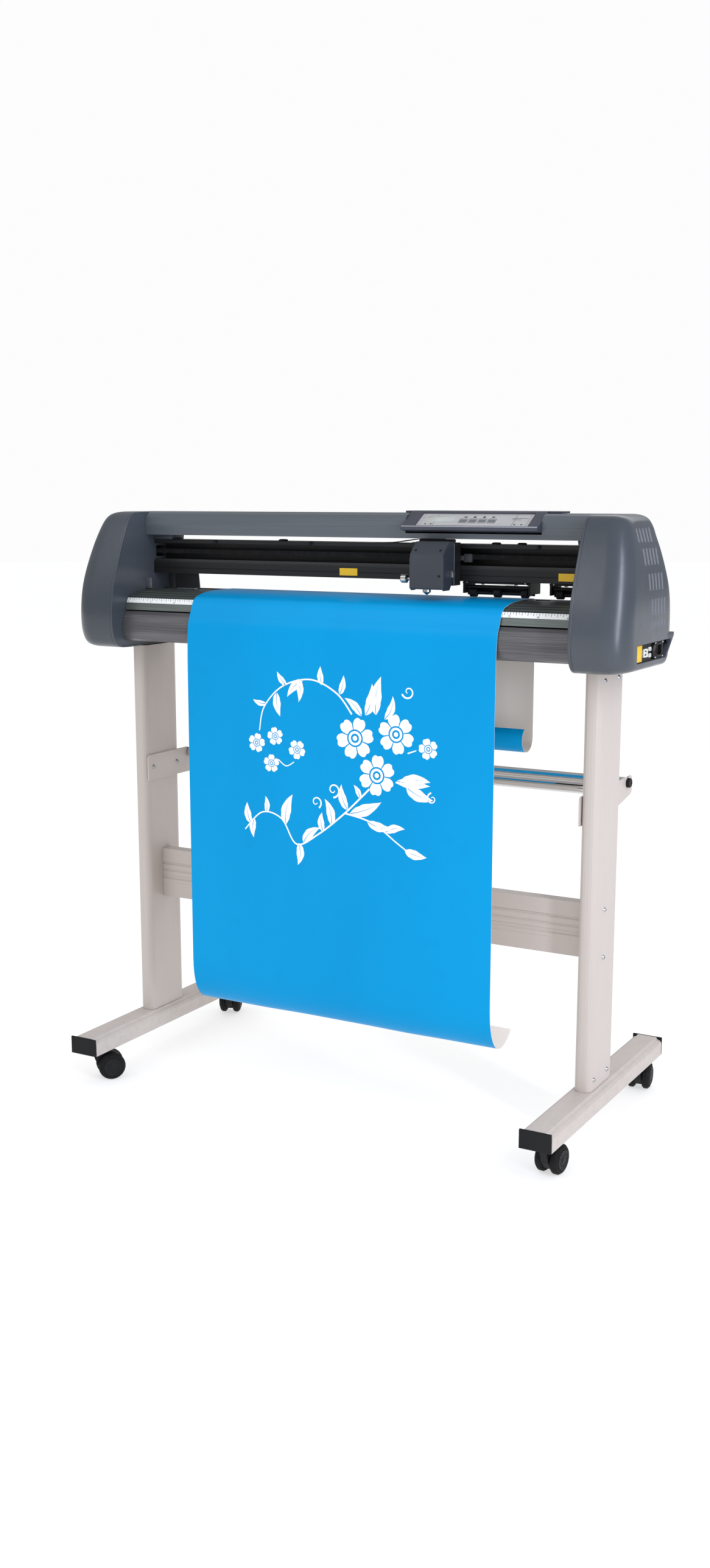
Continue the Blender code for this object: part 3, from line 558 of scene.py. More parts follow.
def dress(made, body, finish, smooth=35.0):
    """Gives a piece its finish and the body that carries it."""
    if finish:
        made.data.materials.clear()
        made.data.materials.append(finish)
    made.data.shade_smooth()
    made.data.set_sharp_from_angle(angle=math.radians(smooth))
    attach(made, body)
    return made


def piece(name, bm, body, finish, smooth=35.0):
    return dress(stand_in(name, bm), body, finish, smooth)


def cut(made, tool, tool_finish=False):
    """Cuts one object out of another; the cut walls may take the tool's own finish."""
    modifier = made.modifiers.new("cut", "BOOLEAN")
    modifier.solver = "EXACT"
    if tool_finish:
        modifier.material_mode = "TRANSFER"
    modifier.object = tool
    settle(made)
    bpy.data.objects.remove(tool, do_unlink=True)


# ---------------------------------------------------------------- repeated pieces

class Pattern(Graph):
    """A Geometry Nodes tree that turns a seed mesh into repeated solids."""

    def __init__(self, name, **sizes):
        super().__init__(bpy.data.node_groups.new(name, "GeometryNodeTree"))
        face = self.tree.interface
        face.new_socket("Seed", in_out="INPUT", socket_type="NodeSocketGeometry")
        for size, value in sizes.items():
            kind = "NodeSocketInt" if isinstance(value, int) else "NodeSocketFloat"
            face.new_socket(size, in_out="INPUT", socket_type=kind).default_value = value
        face.new_socket("Finish", in_out="INPUT", socket_type="NodeSocketMaterial")
        face.new_socket("Result", in_out="OUTPUT", socket_type="NodeSocketGeometry")
        self.entry = self.tree.nodes.new("NodeGroupInput")

    def size(self, name):
        return Field(self, self.entry.outputs[name])

    def vector(self, x=0.0, y=0.0, z=0.0):
        return self.node("ShaderNodeCombineXYZ", None, {0: x, 1: y, 2: z})

    def moved(self, shape, place):
        sockets = {"Geometry": shape, "Translation": place}
        return self.node("GeometryNodeTransform", None, sockets)

    def rod(self, radius, height, sides=20):
        sockets = {"Vertices": sides, "Radius": radius, "Depth": height}
        return self.node("GeometryNodeMeshCylinder", None, sockets)

    def scatter(self, shape, spin=0.0):
        """Puts a shape on each seed point, its Z turned to the point's facing."""
        facing = self.node("GeometryNodeInputNamedAttribute", {"data_type": "FLOAT_VECTOR"},
                           {"Name": "facing"})
        turned = self.node("FunctionNodeAlignRotationToVector", {"axis": "Z"},
                           {"Vector": facing})
        sockets = {"Points": self.size("Seed"), "Instance": shape, "Rotation": turned}
        return self.node("GeometryNodeInstanceOnPoints", None, sockets)

    def close(self, shape):
        solid = self.node("GeometryNodeRealizeInstances", None, {"Geometry": shape})
        sockets = {"Geometry": solid, "Material": self.size("Finish")}
        painted = self.node("GeometryNodeSetMaterial", None, sockets)
        self.node("NodeGroupOutput", None, {0: painted})
        return self.tree


def screw_pattern():
    """Button-head screws with a hexagon socket."""
    p = Pattern("socket_screws", Radius=0.004, Height=0.0022)
    radius, height = p.size("Radius"), p.size("Height")
    sockets = {"Vertices": 20, "Side Segments": 1, "Fill Segments": 1, "Radius Top": radius * 0.62,
               "Radius Bottom": radius, "Depth": height}
    head = p.node("GeometryNodeMeshCone", None, sockets)
    recess = p.moved(p.rod(radius * 0.4, height, 6), p.vector(z=height * 0.9))
    boolean = p.node("GeometryNodeMeshBoolean", {"operation": "DIFFERENCE", "solver": "EXACT"},
                     {"Mesh 1": head, "Mesh 2": recess})
    return p.close(p.scatter(boolean))


def slot_pattern():
    """Upright slots through a wall that faces each seed point's direction."""
    p = Pattern("vent_slots", Width=0.005, Length=0.02, Depth=0.012)
    sockets = {"Size": p.vector(p.size("Width"), p.size("Length"), p.size("Depth"))}
    return p.close(p.scatter(p.node("GeometryNodeMeshCube", None, sockets)))


def ring_pattern():
    """Small ridges or spokes round a circle whose middle is the seed point."""
    p = Pattern("ring_of_ridges", Count=24, Radius=0.007, Ridge=0.0009, Length=0.008)
    circle = p.node("GeometryNodeMeshCircle", None,
                    {"Vertices": p.size("Count"), "Radius": p.size("Radius")})
    outward = p.node("GeometryNodeInputPosition")
    turned = p.node("FunctionNodeAlignRotationToVector", {"axis": "X"}, {"Vector": outward})
    size = p.vector(p.size("Ridge"), p.size("Ridge"), p.size("Length"))
    bar = p.node("GeometryNodeMeshCube", None, {"Size": size})
    sockets = {"Points": circle, "Instance": bar, "Rotation": turned}
    ring = p.node("GeometryNodeInstanceOnPoints", None, sockets)
    return p.close(p.scatter(ring))


def coil_pattern():
    """A compression spring along each seed point's direction."""
    p = Pattern("coil_springs", Radius=0.003, Wire=0.0004, Height=0.01, Turns=7.0)
    sockets = {"Resolution": 18, "Rotations": p.size("Turns"), "Start Radius": p.size("Radius"),
               "End Radius": p.size("Radius"), "Height": p.size("Height")}
    spiral = p.node("GeometryNodeCurveSpiral", None, sockets)
    gauge = p.node("GeometryNodeCurvePrimitiveCircle", None,
                   {"Resolution": 6, "Radius": p.size("Wire")})
    sockets = {"Curve": spiral, "Profile Curve": gauge, "Fill Caps": True}
    return p.close(p.scatter(p.node("GeometryNodeCurveToMesh", None, sockets)))


def seed_points(places):
    """A mesh of loose points in metres, each with the direction it faces."""
    mesh = bpy.data.meshes.new("seeds")
    mesh.from_pydata([Vector(place) * MM for place, _ in places], [], [])
    facing = mesh.attributes.new("facing", "FLOAT_VECTOR", "POINT")
    for item, (_, direction) in zip(facing.data, places):
        item.vector = direction
    return mesh


def repeat(name, tree, places, finish, **sizes):
    """Grows a pattern on seed points and keeps the result as a plain mesh object."""
    host = bpy.data.objects.new(name, seed_points(places))
    SCENE.collection.objects.link(host)
    modifier = host.modifiers.new("pattern", "NODES")
    modifier.node_group = tree
    values = {"Finish": finish, **sizes}
    for item in tree.interface.items_tree:
        if item.in_out == "INPUT" and item.name in values:
            modifier[item.identifier] = values[item.name]
    return settle(host)


def repeated_piece(name, tree, places, body, finish, slot=None, **sizes):
    made = repeat(name, tree, places, finish, **sizes)
    return dress(made, body, None)


SCREWS, SLOTS, RIDGES, COILS = screw_pattern(), slot_pattern(), ring_pattern(), coil_pattern()


# ---------------------------------------------------------------- end covers

CAP_CENTRE = (-28.0, 905.0)
CAP_FACE, CAP_OUTER, CAP_ROUND = 436.0, 528.0, 44.0
CAP_HALF_DEPTH, CAP_HALF_HEIGHT, CAP_HALF_MEAN = 127.0, 131.0, 118.0
SHOULDER_FRONT, SHOULDER_BACK, SHOULDER_TOP = 44.0, 58.0, 12.0
CAP_WALL = 3.0
SHOULDER_STEPS = 16
CAP_LEAN, CAP_LEAN_FROM, CAP_LEAN_TOP, CAP_LEAN_STEP = 28.0, 880.0, 1036.0, 6
PORT_Y, PORT_Z = (-98.0, 56.0), (809.0, 838.0)


def cover_outline():
    """The outer outline of an end cover at its open side, read from its CAD solid."""
    mesh = frame["nodes"]["right_end_cap"].data
    rim = {(round(v.co.y / MM, 2), round(v.co.z / MM, 2)) for v in mesh.vertices
           if v.co.x < (CAP_FACE + 0.2) * MM}
    middle = Vector(CAP_CENTRE)
    near_wall = CAP_WALL * 1.8

    def outermost(point):
        here = Vector(point)
        return all((Vector(other) - here).length > near_wall
                   or (Vector(other) - middle).length <= (here - middle).length for other in rim)

    outer = [point for point in rim if outermost(point)]
    outer.sort(key=lambda point: math.atan2(point[1] - middle.y, point[0] - middle.x))
    return outer


def cover_ring(outline, turn):
    """The outline where the rounded shoulder has turned by this many degrees."""
    fall = 1 - math.cos(math.radians(turn))
    ring = []
    for y, z in outline:
        reach = SHOULDER_FRONT if y < CAP_CENTRE[0] else SHOULDER_BACK
        ring.append((
            CAP_CENTRE[0] + (y - CAP_CENTRE[0]) * (1 - reach * fall / CAP_HALF_DEPTH),
            CAP_CENTRE[1] + (z - CAP_CENTRE[1]) * (1 - SHOULDER_TOP * fall / CAP_HALF_HEIGHT),
        ))
    return ring


def loft_cover(bm, outline, stations, side):
    """One skin of a cover, from its open side to its flat outer face."""
    rings = []
    middle = Vector(CAP_CENTRE)
    for x, turn, scale in stations:
        ring = [middle + (Vector(p) - middle) * scale for p in cover_ring(outline, turn)]
        rings.append([bm.verts.new((side * x, p.x, p.y)) for p in ring])
    for near, far in zip(rings, rings[1:]):
        for i in range(len(outline)):
            j = (i + 1) % len(outline)
            bm.faces.new((near[i], near[j], far[j], far[i]))
    bm.faces.new(rings[-1])
    return rings[0]


def lean(z):
    """How far a cover's outer face stands back at a height."""
    rise = max(0.0, z - CAP_LEAN_FROM) / (CAP_LEAN_TOP - CAP_LEAN_FROM)
    return CAP_LEAN * rise ** 2


def lean_in(bm):
    for level in range(int(CAP_LEAN_FROM), int(CAP_LEAN_TOP), CAP_LEAN_STEP):
        whole = bm.verts[:] + bm.edges[:] + bm.faces[:]
        bmesh.ops.bisect_plane(bm, geom=whole, plane_co=(0, 0, level), plane_no=(0, 0, 1))
    for vert in bm.verts:
        out = (abs(vert.co.x) - CAP_FACE) / (CAP_OUTER - CAP_FACE)
        vert.co.x -= math.copysign(lean(vert.co.z) * out, vert.co.x)


def make_cover(name, side):
    """A moulded end cover with a thin wall and a small bead round its open edge."""
    outline = eased(cover_outline(), 3)
    straight = CAP_OUTER - CAP_ROUND
    bead = [(0.0, 0.994), (0.8, 1.0), (5.0, 1.0), (5.6, 0.995), (6.2, 1.0)]
    turns = [90.0 * i / SHOULDER_STEPS for i in range(SHOULDER_STEPS + 1)]
    outside = [(CAP_FACE + x, 0.0, scale) for x, scale in bead]
    outside += [(straight + CAP_ROUND * math.sin(math.radians(t)), t, 1.0) for t in turns]
    inset = 1.0 - CAP_WALL / CAP_HALF_MEAN
    inside = [(CAP_FACE, 0.0, inset)]
    reach = CAP_ROUND - CAP_WALL
    inside += [(straight + reach * math.sin(math.radians(t)), t, inset) for t in turns]
    bm = bmesh.new()
    rims = [loft_cover(bm, outline, stations, side) for stations in (outside, inside)]
    for i in range(len(outline)):
        j = (i + 1) % len(outline)
        bm.faces.new((rims[0][i], rims[0][j], rims[1][j], rims[1][i]))
    bmesh.ops.recalc_face_normals(bm, faces=bm.faces)
    lean_in(bm)
    cover = stand_in(name, bm)
    cover.data.materials.append(CAP)
    return cover


# Height, length and first Y of each row of slots.
VENT_ROWS = [(1004.0, 22.0, -64.0), (971.0, 26.0, -52.0), (932.0, 26.0, -42.0),
             (893.0, 26.0, -34.0), (866.0, 12.0, -32.0)]
VENT_PITCH, VENT_COUNT, VENT_WIDTH, VENT_DEPTH = 14.5, 5, 7.0, 22.0


def make_vents(cover, side):
    """Rows of upright slots near the back of a cover's outer face; their cut walls are a light grey
    painted highlight.
    """
    for number, (z, length, first) in enumerate(VENT_ROWS):
        face = CAP_OUTER - lean(z)
        places = [((side * face, first + VENT_PITCH * i, z), (side, 0, 0))
                  for i in range(VENT_COUNT)]
        slots = repeat(f"row_{number}", SLOTS, places, EDGE_HIGHLIGHT, Width=length * MM,
                       Length=VENT_WIDTH * MM, Depth=VENT_DEPTH * MM)
        # The slot walls take the tool's light grey finish, a painted highlight standing in for lit
        # walls.
        cut(cover, slots, tool_finish=True)


def make_covers():
    for side, name in SIDES:
        cover = make_cover(f"{name}_cover", side)
        make_vents(cover, side)
        if side > 0:
            port = block((516, PORT_Y[0], PORT_Z[0]), (537, PORT_Y[1], PORT_Z[1]), 0)
            cut(cover, stand_in("cutter", port))
        bm = bmesh.new()
        bm.from_mesh(cover.data)
        bmesh.ops.remove_doubles(bm, verts=bm.verts, dist=1e-6)
        bm.to_mesh(cover.data)
        bm.free()
        dress(cover, "frame", None, 32.0)
        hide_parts(f"{name}_end_cap")
        rear = [((side * x, y, z), facing) for x, y, z, facing in (
            (470, 98.2, 838, (0, 1, 0.05)), (470, 81.5, 941, (0, 1, 0.4)),
            (455, 54.6, 1006, (0, 1, 0.35)))]
        repeated_piece(f"{name}_cover_screws", SCREWS, rear, "frame", BLACK, "black_plastic",
                       Radius=0.0042, Height=0.002)


def make_ports():
    """The hooded recess with its blank label, data sockets and the inlet's pins."""
    outer = [(-102, 805), (38, 805), (76, 842), (76, 847.5), (-102, 847.5)]
    inner = [(-97.5, 809.5), (35, 809.5), (62, 833.5), (62, 837.6), (-97.5, 837.6)]
    hood = prism(outer, 511, 527.9, "X", 0.7, inner)
    piece("port_hood", hood, "frame", PANEL)
    backing = prism([(33.6, 807), (60, 807), (60, 845), (33.6, 845)], 517.6, 519.6, "X", 0.4)
    piece("port_backing", backing, "frame", BLACK)
    label = prism([(-95, 811), (-69, 811), (-69, 836.5), (-95, 836.5)], 525.2, 525.6, "X", 0.15)
    piece("port_label", label, "frame", LABEL)
    sockets = []
    for y, z, width, height in ((-56, 823.5, 17, 13), (-36, 828.5, 9, 6), (-36, 818.5, 9, 6)):
        w, h = width / 2, height / 2
        shell = [(y - w, z - h), (y + w, z - h), (y + w, z + h * 0.6), (y + w * 0.7, z + h),
                 (y - w * 0.7, z + h), (y - w, z + h * 0.6)]
        hole = [(y + (u - y) * 0.72, z + (v - z) * 0.66) for u, v in shell]
        sockets.append(prism(shell, 524.6, 527.6, "X", 0.3, hole))
        tongue = prism([(y + (u - y) * 0.45, z + (v - z) * 0.2) for u, v in shell], 524.8, 526.6)
        sockets.append(tongue)
    piece("port_sockets", joined(*sockets), "frame", WHITE)
    pins = [lathe([(0, 0), (1.3, 0), (1.3, 8), (0.7, 9), (0, 9)], (511.5, y, z), "X", 12)
            for y, z in ((7, 821.5), (17, 821.5), (12, 826.5))]
    piece("inlet_pins", joined(*pins), "frame", BRASS)
    corners = [((525.0, y, z), (1, 0, 0)) for y in (-4.6, 29.5) for z in (812, 835)]
    repeated_piece("port_screws", SCREWS, corners, "frame", STEEL, "steel", Radius=0.0019,
                   Height=0.0012)


# ---------------------------------------------------------------- beam, rail and bed

def make_head_trim():
    for side, name in SIDES:
        reach = (side * 435.4, side * 396.0)
        outline = [(reach[0], 985.4), (reach[1] + side, 985.4), (reach[1], 993.6),
                   (reach[0], 993.6)]
        gusset = prism(outline, -22, 16, "Y", 0.8)
        piece(f"{name}_beam_gusset", gusset, "frame", PANEL)
    guard = prism([(-436, 893), (-371, 893), (-374, 924), (-436, 924)], 27.5, 30.0, "Y", 0.5)
    stay = prism([(-436, 893), (-425, 893), (-425, 924), (-436, 924)], 22.0, 28.0, "Y", 0.5)
    piece("feed_guard", joined(guard, stay), "frame", GUARD)
    tab = prism([(-52, 896.6), (-40, 896.6), (-40, 898), (-50.6, 898), (-50.6, 916), (-52, 916)],
                -436, -423, "X", 0.3)
    piece("sheet_stop", tab, "frame", ALLOY)
    # Thin bright alloy strip along the bed's rear top edge: a painted highlight of that edge.
    edge = prism([(5.2, 896.05), (16.6, 896.05), (16.2, 896.35), (5.6, 896.35)], -435.6, 435.6)
    piece("platen_edge_highlight", edge, "frame", ALLOY)
    clips = []
    for x in (-161, 251, 297):
        clip = [(-23, 985.05), (-6, 985.05), (-6, 987.6), (-11, 988.6), (-18, 988.6), (-23, 987)]
        clips.append(prism(clip, x - 5, x + 5, "X", 0.5))
    piece("rail_clips", joined(*clips), "frame", BLACK)
    ribbon = [(20, 985.3), (60, 986.4), (88, 990.8), (112, 993.4), (150, 993.6)]
    ribbon = eased(ribbon, 2, closed=False)
    band = ribbon + [(x, z - 1.1) for x, z in reversed(ribbon)]
    band = [(x, max(z, 985.05)) for x, z in band]
    piece("flex_lead", prism(band, -14, 8, "Y"), "frame", BLACK)
    labels = [prism([(x, 928.6), (x + 35, 928.6), (x + 35, 941), (x, 941)], -25.25, -25.02, "Y")
              for x in (-40, 366)]
    piece("rail_labels", joined(*labels), "frame", LABEL)
    screws = [((x, -25.0, 982.0), (0, -1, 0)) for x in (-300, -100, 330)]
    screws += [((x, 24.0, z), (0, 1, 0)) for x in (-400, -200, 0, 200, 400) for z in (934, 974)]
    screws += [((x, 57.0, 1002.0), (0, 1, 0.02)) for x in (-380, -190, 0, 190, 380)]
    repeated_piece("head_screws", SCREWS, screws, "frame", ANODISED, "black_anodised",
                   Radius=0.003, Height=0.0018)


def make_ruler_numbers():
    """Centimetre figures along the tape, standing on its slope."""
    lower, upper = Vector((0, -110.75, 874.4)), Vector((0, -106.75, 883.0))
    up = (upper - lower).normalized()
    outward = Vector((1, 0, 0)).cross(up)
    turn = Matrix((Vector((1, 0, 0)), up, outward)).transposed().to_4x4()
    whole = bmesh.new()
    for number in range(0, 88, 5):
        x = -435.0 + number * 10 + 1.2
        if x > 425:
            break
        text = bpy.data.curves.new("figure", "FONT")
        text.body = str(number)
        text.size = 4.2
        text.extrude = 0.02
        host = bpy.data.objects.new("figure", text)
        SCENE.collection.objects.link(host)
        mesh = finished_mesh(host)
        bpy.data.objects.remove(host, do_unlink=True)
        foot = lower + up * 0.8 + outward * 0.12
        mesh.transform(Matrix.Translation((x, foot.y, foot.z)) @ turn)
        whole.from_mesh(mesh)
        bpy.data.meshes.remove(mesh)
    piece("ruler_figures", whole, "frame", DARK)


def make_panel_trim():
    """Printed key frames and arrows, a display window and a thin light strip along the tray's lower
    edge, a painted highlight on its lip.
    """
    start, end = Vector((-66.0, 1014.0)), Vector((-26.0, 1038.0))
    up = (end - start).normalized()
    out = Vector((-up.y, up.x))
    film = 2.2

    def on_film(x, along, lift):
        place = start + up * along + out * (lift - film)
        return Vector((x, place.x, place.y))

    def mark(points, lift=0.12):
        """A thin printed shape on the film, outlined by (x, distance up the slope)."""
        bm = bmesh.new()
        top = [bm.verts.new(on_film(x, a, lift)) for x, a in points]
        base = [bm.verts.new(on_film(x, a, 0.0)) for x, a in points]
        bm.faces.new(top)
        bm.faces.new(base[::-1])
        for i in range(len(points)):
            j = (i + 1) % len(points)
            bm.faces.new((top[j], top[i], base[i], base[j]))
        bmesh.ops.recalc_face_normals(bm, faces=bm.faces)
        return bm

    marks = []
    for x in (205.0, 222.0, 239.0, 256.0):
        for low, high in ((15.6, 16.4), (27.6, 28.4)):
            marks.append(mark([(x - 7, low), (x + 7, low), (x + 7, high), (x - 7, high)]))
        for left in (x - 7.2, x + 6.6):
            marks.append(mark([(left, 15.6), (left + 0.6, 15.6), (left + 0.6, 28.4), (left, 28.4)]))
    for x, lean in ((205, -1), (222, 0), (239, 0), (256, 1)):
        if lean:
            marks.append(mark([(x - 3 * lean, 31), (x + 4 * lean, 33.5), (x - 3 * lean, 36)]))
        else:
            marks.append(mark(arc((x, 33.5), 2.6, 0, 345, 15)))
    for x in (140.0, 150.0, 300.0, 312.0):
        marks.append(mark(arc((x, 12.0), 1.7, 0, 345, 15)))
    marks.append(mark([(290, 30), (318, 30), (318, 31), (290, 31)]))
    marks.append(mark([(290, 26), (306, 26), (306, 27), (290, 27)]))
    piece("panel_marks", joined(*marks), "frame", DARK)
    # Thin light strip along the tray's lower edge: a painted highlight on the bezel's lip.
    lip_highlight = prism([(-66.6, 1014.2), (-65.2, 1015.4), (-64.4, 1014.8), (-65.8, 1013.4)],
                101, 344, "X", 0.2)
    piece("panel_lip_highlight", lip_highlight, "frame", EDGE_HIGHLIGHT)
    window = mark(eased([(134, 18), (188, 18), (188, 36), (134, 36)], 2), 0.35)
    piece("panel_display", softened(window, 0.1), "frame", display_finish())


def display_finish():
    """A grey reflective display that is switched off, with faint cell lines."""
    f = Finish("display_window")
    cells = f.fade(abs((f.x / 0.003) % 1.0 - 0.5), 0.44, 0.49)
    drift = f.clouds(40.0, detail=2.0)
    colour = f.blend(f.fade(drift, 0.3, 0.7), paint(168, 172, 170), paint(182, 186, 184))
    colour = f.blend(cells * 0.12, colour, paint(120, 124, 122))
    return f.close(colour, 0.2 + (drift - 0.5) * 0.05, 0.0, f.relief(cells, 1e-5), coat_weight=0.3)


# ---------------------------------------------------------------- carriage and rollers

def make_carriage_trim():
    lo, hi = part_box("carriage_cover")
    left, right, front = lo.x / MM, hi.x / MM, lo.y / MM
    holes = [((left + 8, -85.2, 976.3), (0, -0.67, 0.74)),
             ((right - 8, -85.2, 976.3), (0, -0.67, 0.74)),
             ((right - 7, front, 935.0), (0, -1, 0))]
    repeated_piece("cover_screws", SCREWS, holes, "carriage", BLACK, "black_plastic",
                   Radius=0.0022, Height=0.0009)
    seam = [prism([(-91.6, 914), (-90.8, 914), (-90.8, 964.6), (-91.6, 964.6)], x, x + 0.5)
            for x in (left - 0.4, right - 0.1)]
    piece("cover_seams", joined(*seam), "carriage", PANEL)
    top = prism([(-49, 988.2), (-28, 988.2), (-28, 992), (-31, 993.4), (-46, 993.4), (-49, 991)],
                126, 184, "X", 0.6)
    piece("lead_clamp", top, "carriage", BLACK)
    lug = prism([(left - 6.5, 950), (left - 0.6, 950), (left - 0.6, 962), (left - 3.5, 962)],
                -68, -60, "Y", 0.4)
    lever = prism([(right + 0.4, 931), (right + 6, 933), (right + 6, 941), (right + 0.4, 944)],
                  -66, -58, "Y", 0.5)
    piece("cover_lugs", joined(lug, lever), "carriage", ALLOY)
    clip = prism([(-16.4, 955.5), (-11.0, 955.5), (-11.0, 968.5), (-14, 969.5), (-16.4, 968)],
                 193, 207, "X", 0.4)
    arm = prism([(-16.4, 958), (-12.4, 958), (-12.4, 966), (-16.4, 966)], 172, 194, "X", 0.3)
    piece("belt_clip", joined(clip, arm), "carriage", GUARD)
    repeated_piece("knob_knurl", RIDGES, [((110.5, -70, 929), (1, 0, 0))], "knob", CHROME, "chrome",
                   Count=32, Radius=0.0070, Ridge=0.0007, Length=0.0088)
    cap = lathe([(0, 103.4), (3.2, 103.4), (4.6, 104.2), (4.6, 104.8), (0, 104.8)], (0, -70, 929))
    piece("knob_face", cap, "knob", STEEL)
    repeated_piece("holder_knurl", RIDGES, [((152, -70, 965.0), (0, 0, 1))], "tool", STEEL, "steel",
                   Count=36, Radius=0.0090, Ridge=0.0007, Length=0.0080)


def make_roller_trim(name):
    """Springs, lever pad, skirt and steel shaft collars of one pinch unit."""
    lo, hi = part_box(f"pinch_holder_{name}")
    left, right = lo.x / MM, hi.x / MM
    if right - left > 80:
        spots = [left + 22, (left + right) / 2 + 22, right - 16]
    else:
        spots = [left + 16, right - 16]
    middle = left / 2 + right / 2
    pad = prism([(middle - 8, 914.7), (middle + 8, 914.7), (middle + 8, 916.2),
                 (middle - 8, 916.2)], 26, 37.4, "Y", 0.4)
    piece(f"lever_pad_{name}", pad, f"arm_{name}", GUARD)
    skirt = prism([(left + 3, 901.5), (right - 3, 901.5), (right - 3, 916.6), (left + 3, 916.6)],
                  4.5, 6.0, "Y", 0.3)
    piece(f"arm_skirt_{name}", skirt, f"arm_{name}", BLACK)
    seats = [((x, 9.0, 918.0), (0, 0, 1)) for x in spots]
    repeated_piece(f"arm_springs_{name}", COILS, seats, f"holder_{name}", STEEL, "steel",
                   Radius=0.0028, Wire=0.00035, Height=0.0036, Turns=4.0)
    lo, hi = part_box(f"pinch_wheels_{name}")
    ends = [lathe([(2.05, 0), (3.6, 0), (3.6, 2.2), (2.05, 2.2), (2.05, 0)],
                  (x, -8.0, 905.5), "X", 16) for x in (lo.x / MM + 0.6, hi.x / MM - 2.8)]
    piece(f"wheel_collars_{name}", joined(*ends), f"pinch_{name}", STEEL)
    face = [((left + 8, -24.0, 923.0), (0, -1, 0)), ((right - 8, -24.0, 923.0), (0, -1, 0))]
    repeated_piece(f"holder_screws_{name}", SCREWS, face, f"holder_{name}", STEEL, "steel",
                   Radius=0.0016, Height=0.001)


# ---------------------------------------------------------------- stand

def make_stand_trim():
    screws = []
    for side in (-1, 1):
        screws += [((side * 461, -25, z), (side, 0, 0)) for z in (396, 315)]
        screws += [((side * 461, y, z), (side, 0, 0)) for y in (-52, 8) for z in (110, 776)]
        screws += [((side * 427.6, y, 565), (-side, 0, 0)) for y in (-52, 22)]
    repeated_piece("leg_screws", SCREWS, screws, "frame", STEEL, "steel", Radius=0.0042,
                   Height=0.0024)
    for name, y in (("front", 62), ("rear", 150)):
        plugs = []
        for side in (-1, 1):
            profile = [(0, 431.2), (8.4, 431.2), (8.4, 435.6), (7.2, 437.2), (3.0, 437.2), (0, 436)]
            plugs.append(lathe([(r, side * x) for r, x in profile], (0, y, 578), "X", 24))
        piece(f"{name}_roller_plugs", joined(*plugs), f"{name}_roller", BLACK)
    yaws = {"front_left": -42, "front_right": -6, "rear_left": 24, "rear_right": 8}
    for corner, yaw in yaws.items():
        x = 446.0 * (1 if "right" in corner else -1)
        y = 214.0 * (1 if "rear" in corner else -1)
        washer = lathe([(5.2, 58.75), (9, 58.75), (9, 58.95), (5.2, 58.95), (5.2, 58.75)],
                       (x, y, 0), "Z", 24)
        piece(f"stem_washer_{corner}", washer, f"fork_{corner}", STEEL)
        spin = Matrix.Rotation(math.radians(yaw), 3, "Z")
        centre = Vector((x, y, 25.0)) + spin @ Vector((0, 19.0, 0))
        hubs, axle = [], spin @ Vector((1, 0, 0))
        for side in (-1, 1):
            hub = lathe([(0, 21.8), (4.5, 21.8), (5.4, 21.2), (13.5, 21.2), (14.6, 21.8),
                         (16, 21.8), (16.4, 20.6), (0, 20.6)], (0, 0, 0), "X", 28)
            turned = Matrix.Translation(centre) @ spin.to_4x4() @ Matrix.Scale(side, 4, (1, 0, 0))
            bmesh.ops.transform(hub, matrix=turned, verts=hub.verts)
            bmesh.ops.recalc_face_normals(hub, faces=hub.faces)
            hubs.append(hub)
        piece(f"wheel_hubs_{corner}", joined(*hubs), f"wheels_{corner}", BLACK)
        faces = [(centre + axle * side * 21.3, axle * side) for side in (-1, 1)]
        repeated_piece(f"hub_spokes_{corner}", RIDGES, faces, f"wheels_{corner}", BLACK,
                       "black_plastic", Count=9, Radius=0.0100, Ridge=0.0018, Length=0.0008)


# ---------------------------------------------------------------- hanging vinyl sheet

FILM_THICK = 0.45
BED_TOP = 896.95
SHEET_LO, SHEET_HI = (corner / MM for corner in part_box("vinyl_sheet"))
SHEET_COLUMNS = 48


def web_path():
    """The sheet's middle line, from the curl behind, over the bed, to the curl in front."""
    path = arc((2, 664), 22, -235, 0, 24)
    path += arc((16, BED_TOP - 8), 8, 0, 90, 8)
    bend = [(-45, BED_TOP), (-76, 894.4), (-101, 888.2), (-109.5, 882), (-114, 873), (-118, 862),
            (-124.5, 850), (-127.5, 836), (-129, 815), (-130, 785), (-131, 600), (-131, 400)]
    drop = [(-131, 226), (-129.5, 205), (-125, 185), (-117, 168), (-105.5, 155), (-92, 148.5),
            (-76, 148), (-61, 153.5), (-49, 162.5), (-43, 170)]
    path += eased([path[-1]] + bend + drop, 3, closed=False)[1:]
    even = [Vector(path[0])]
    for first, second in zip(path, path[1:]):
        first, second = Vector(first), Vector(second)
        steps = max(1, round((second - first).length / 6))
        even += [first.lerp(second, i / steps) for i in range(1, steps + 1)]
    return even


WEB = web_path()
WEB_LENGTHS = [0.0]
for first, second in zip(WEB, WEB[1:]):
    WEB_LENGTHS.append(WEB_LENGTHS[-1] + (second - first).length)


def web_normal(i):
    """The direction out of the blue side at a point of the middle line."""
    along = (WEB[min(i + 1, len(WEB) - 1)] - WEB[max(i - 1, 0)]).normalized()
    return Vector((along.y, -along.x))


def ripple(x, length):
    """Slow waves of the free film, none where the bed and the rollers hold it flat."""
    front = min(1.0, max(0.0, (length - 520.0) / 500.0))
    rear = min(1.0, max(0.0, (250.0 - length) / 250.0))
    wave = 0.45 * math.sin(math.tau * x / 330.0 + 0.6 + length / 260.0)
    wave += 0.15 * math.sin(math.tau * x / 140.0 + 1.9)
    return wave * (front + 0.6 * rear)


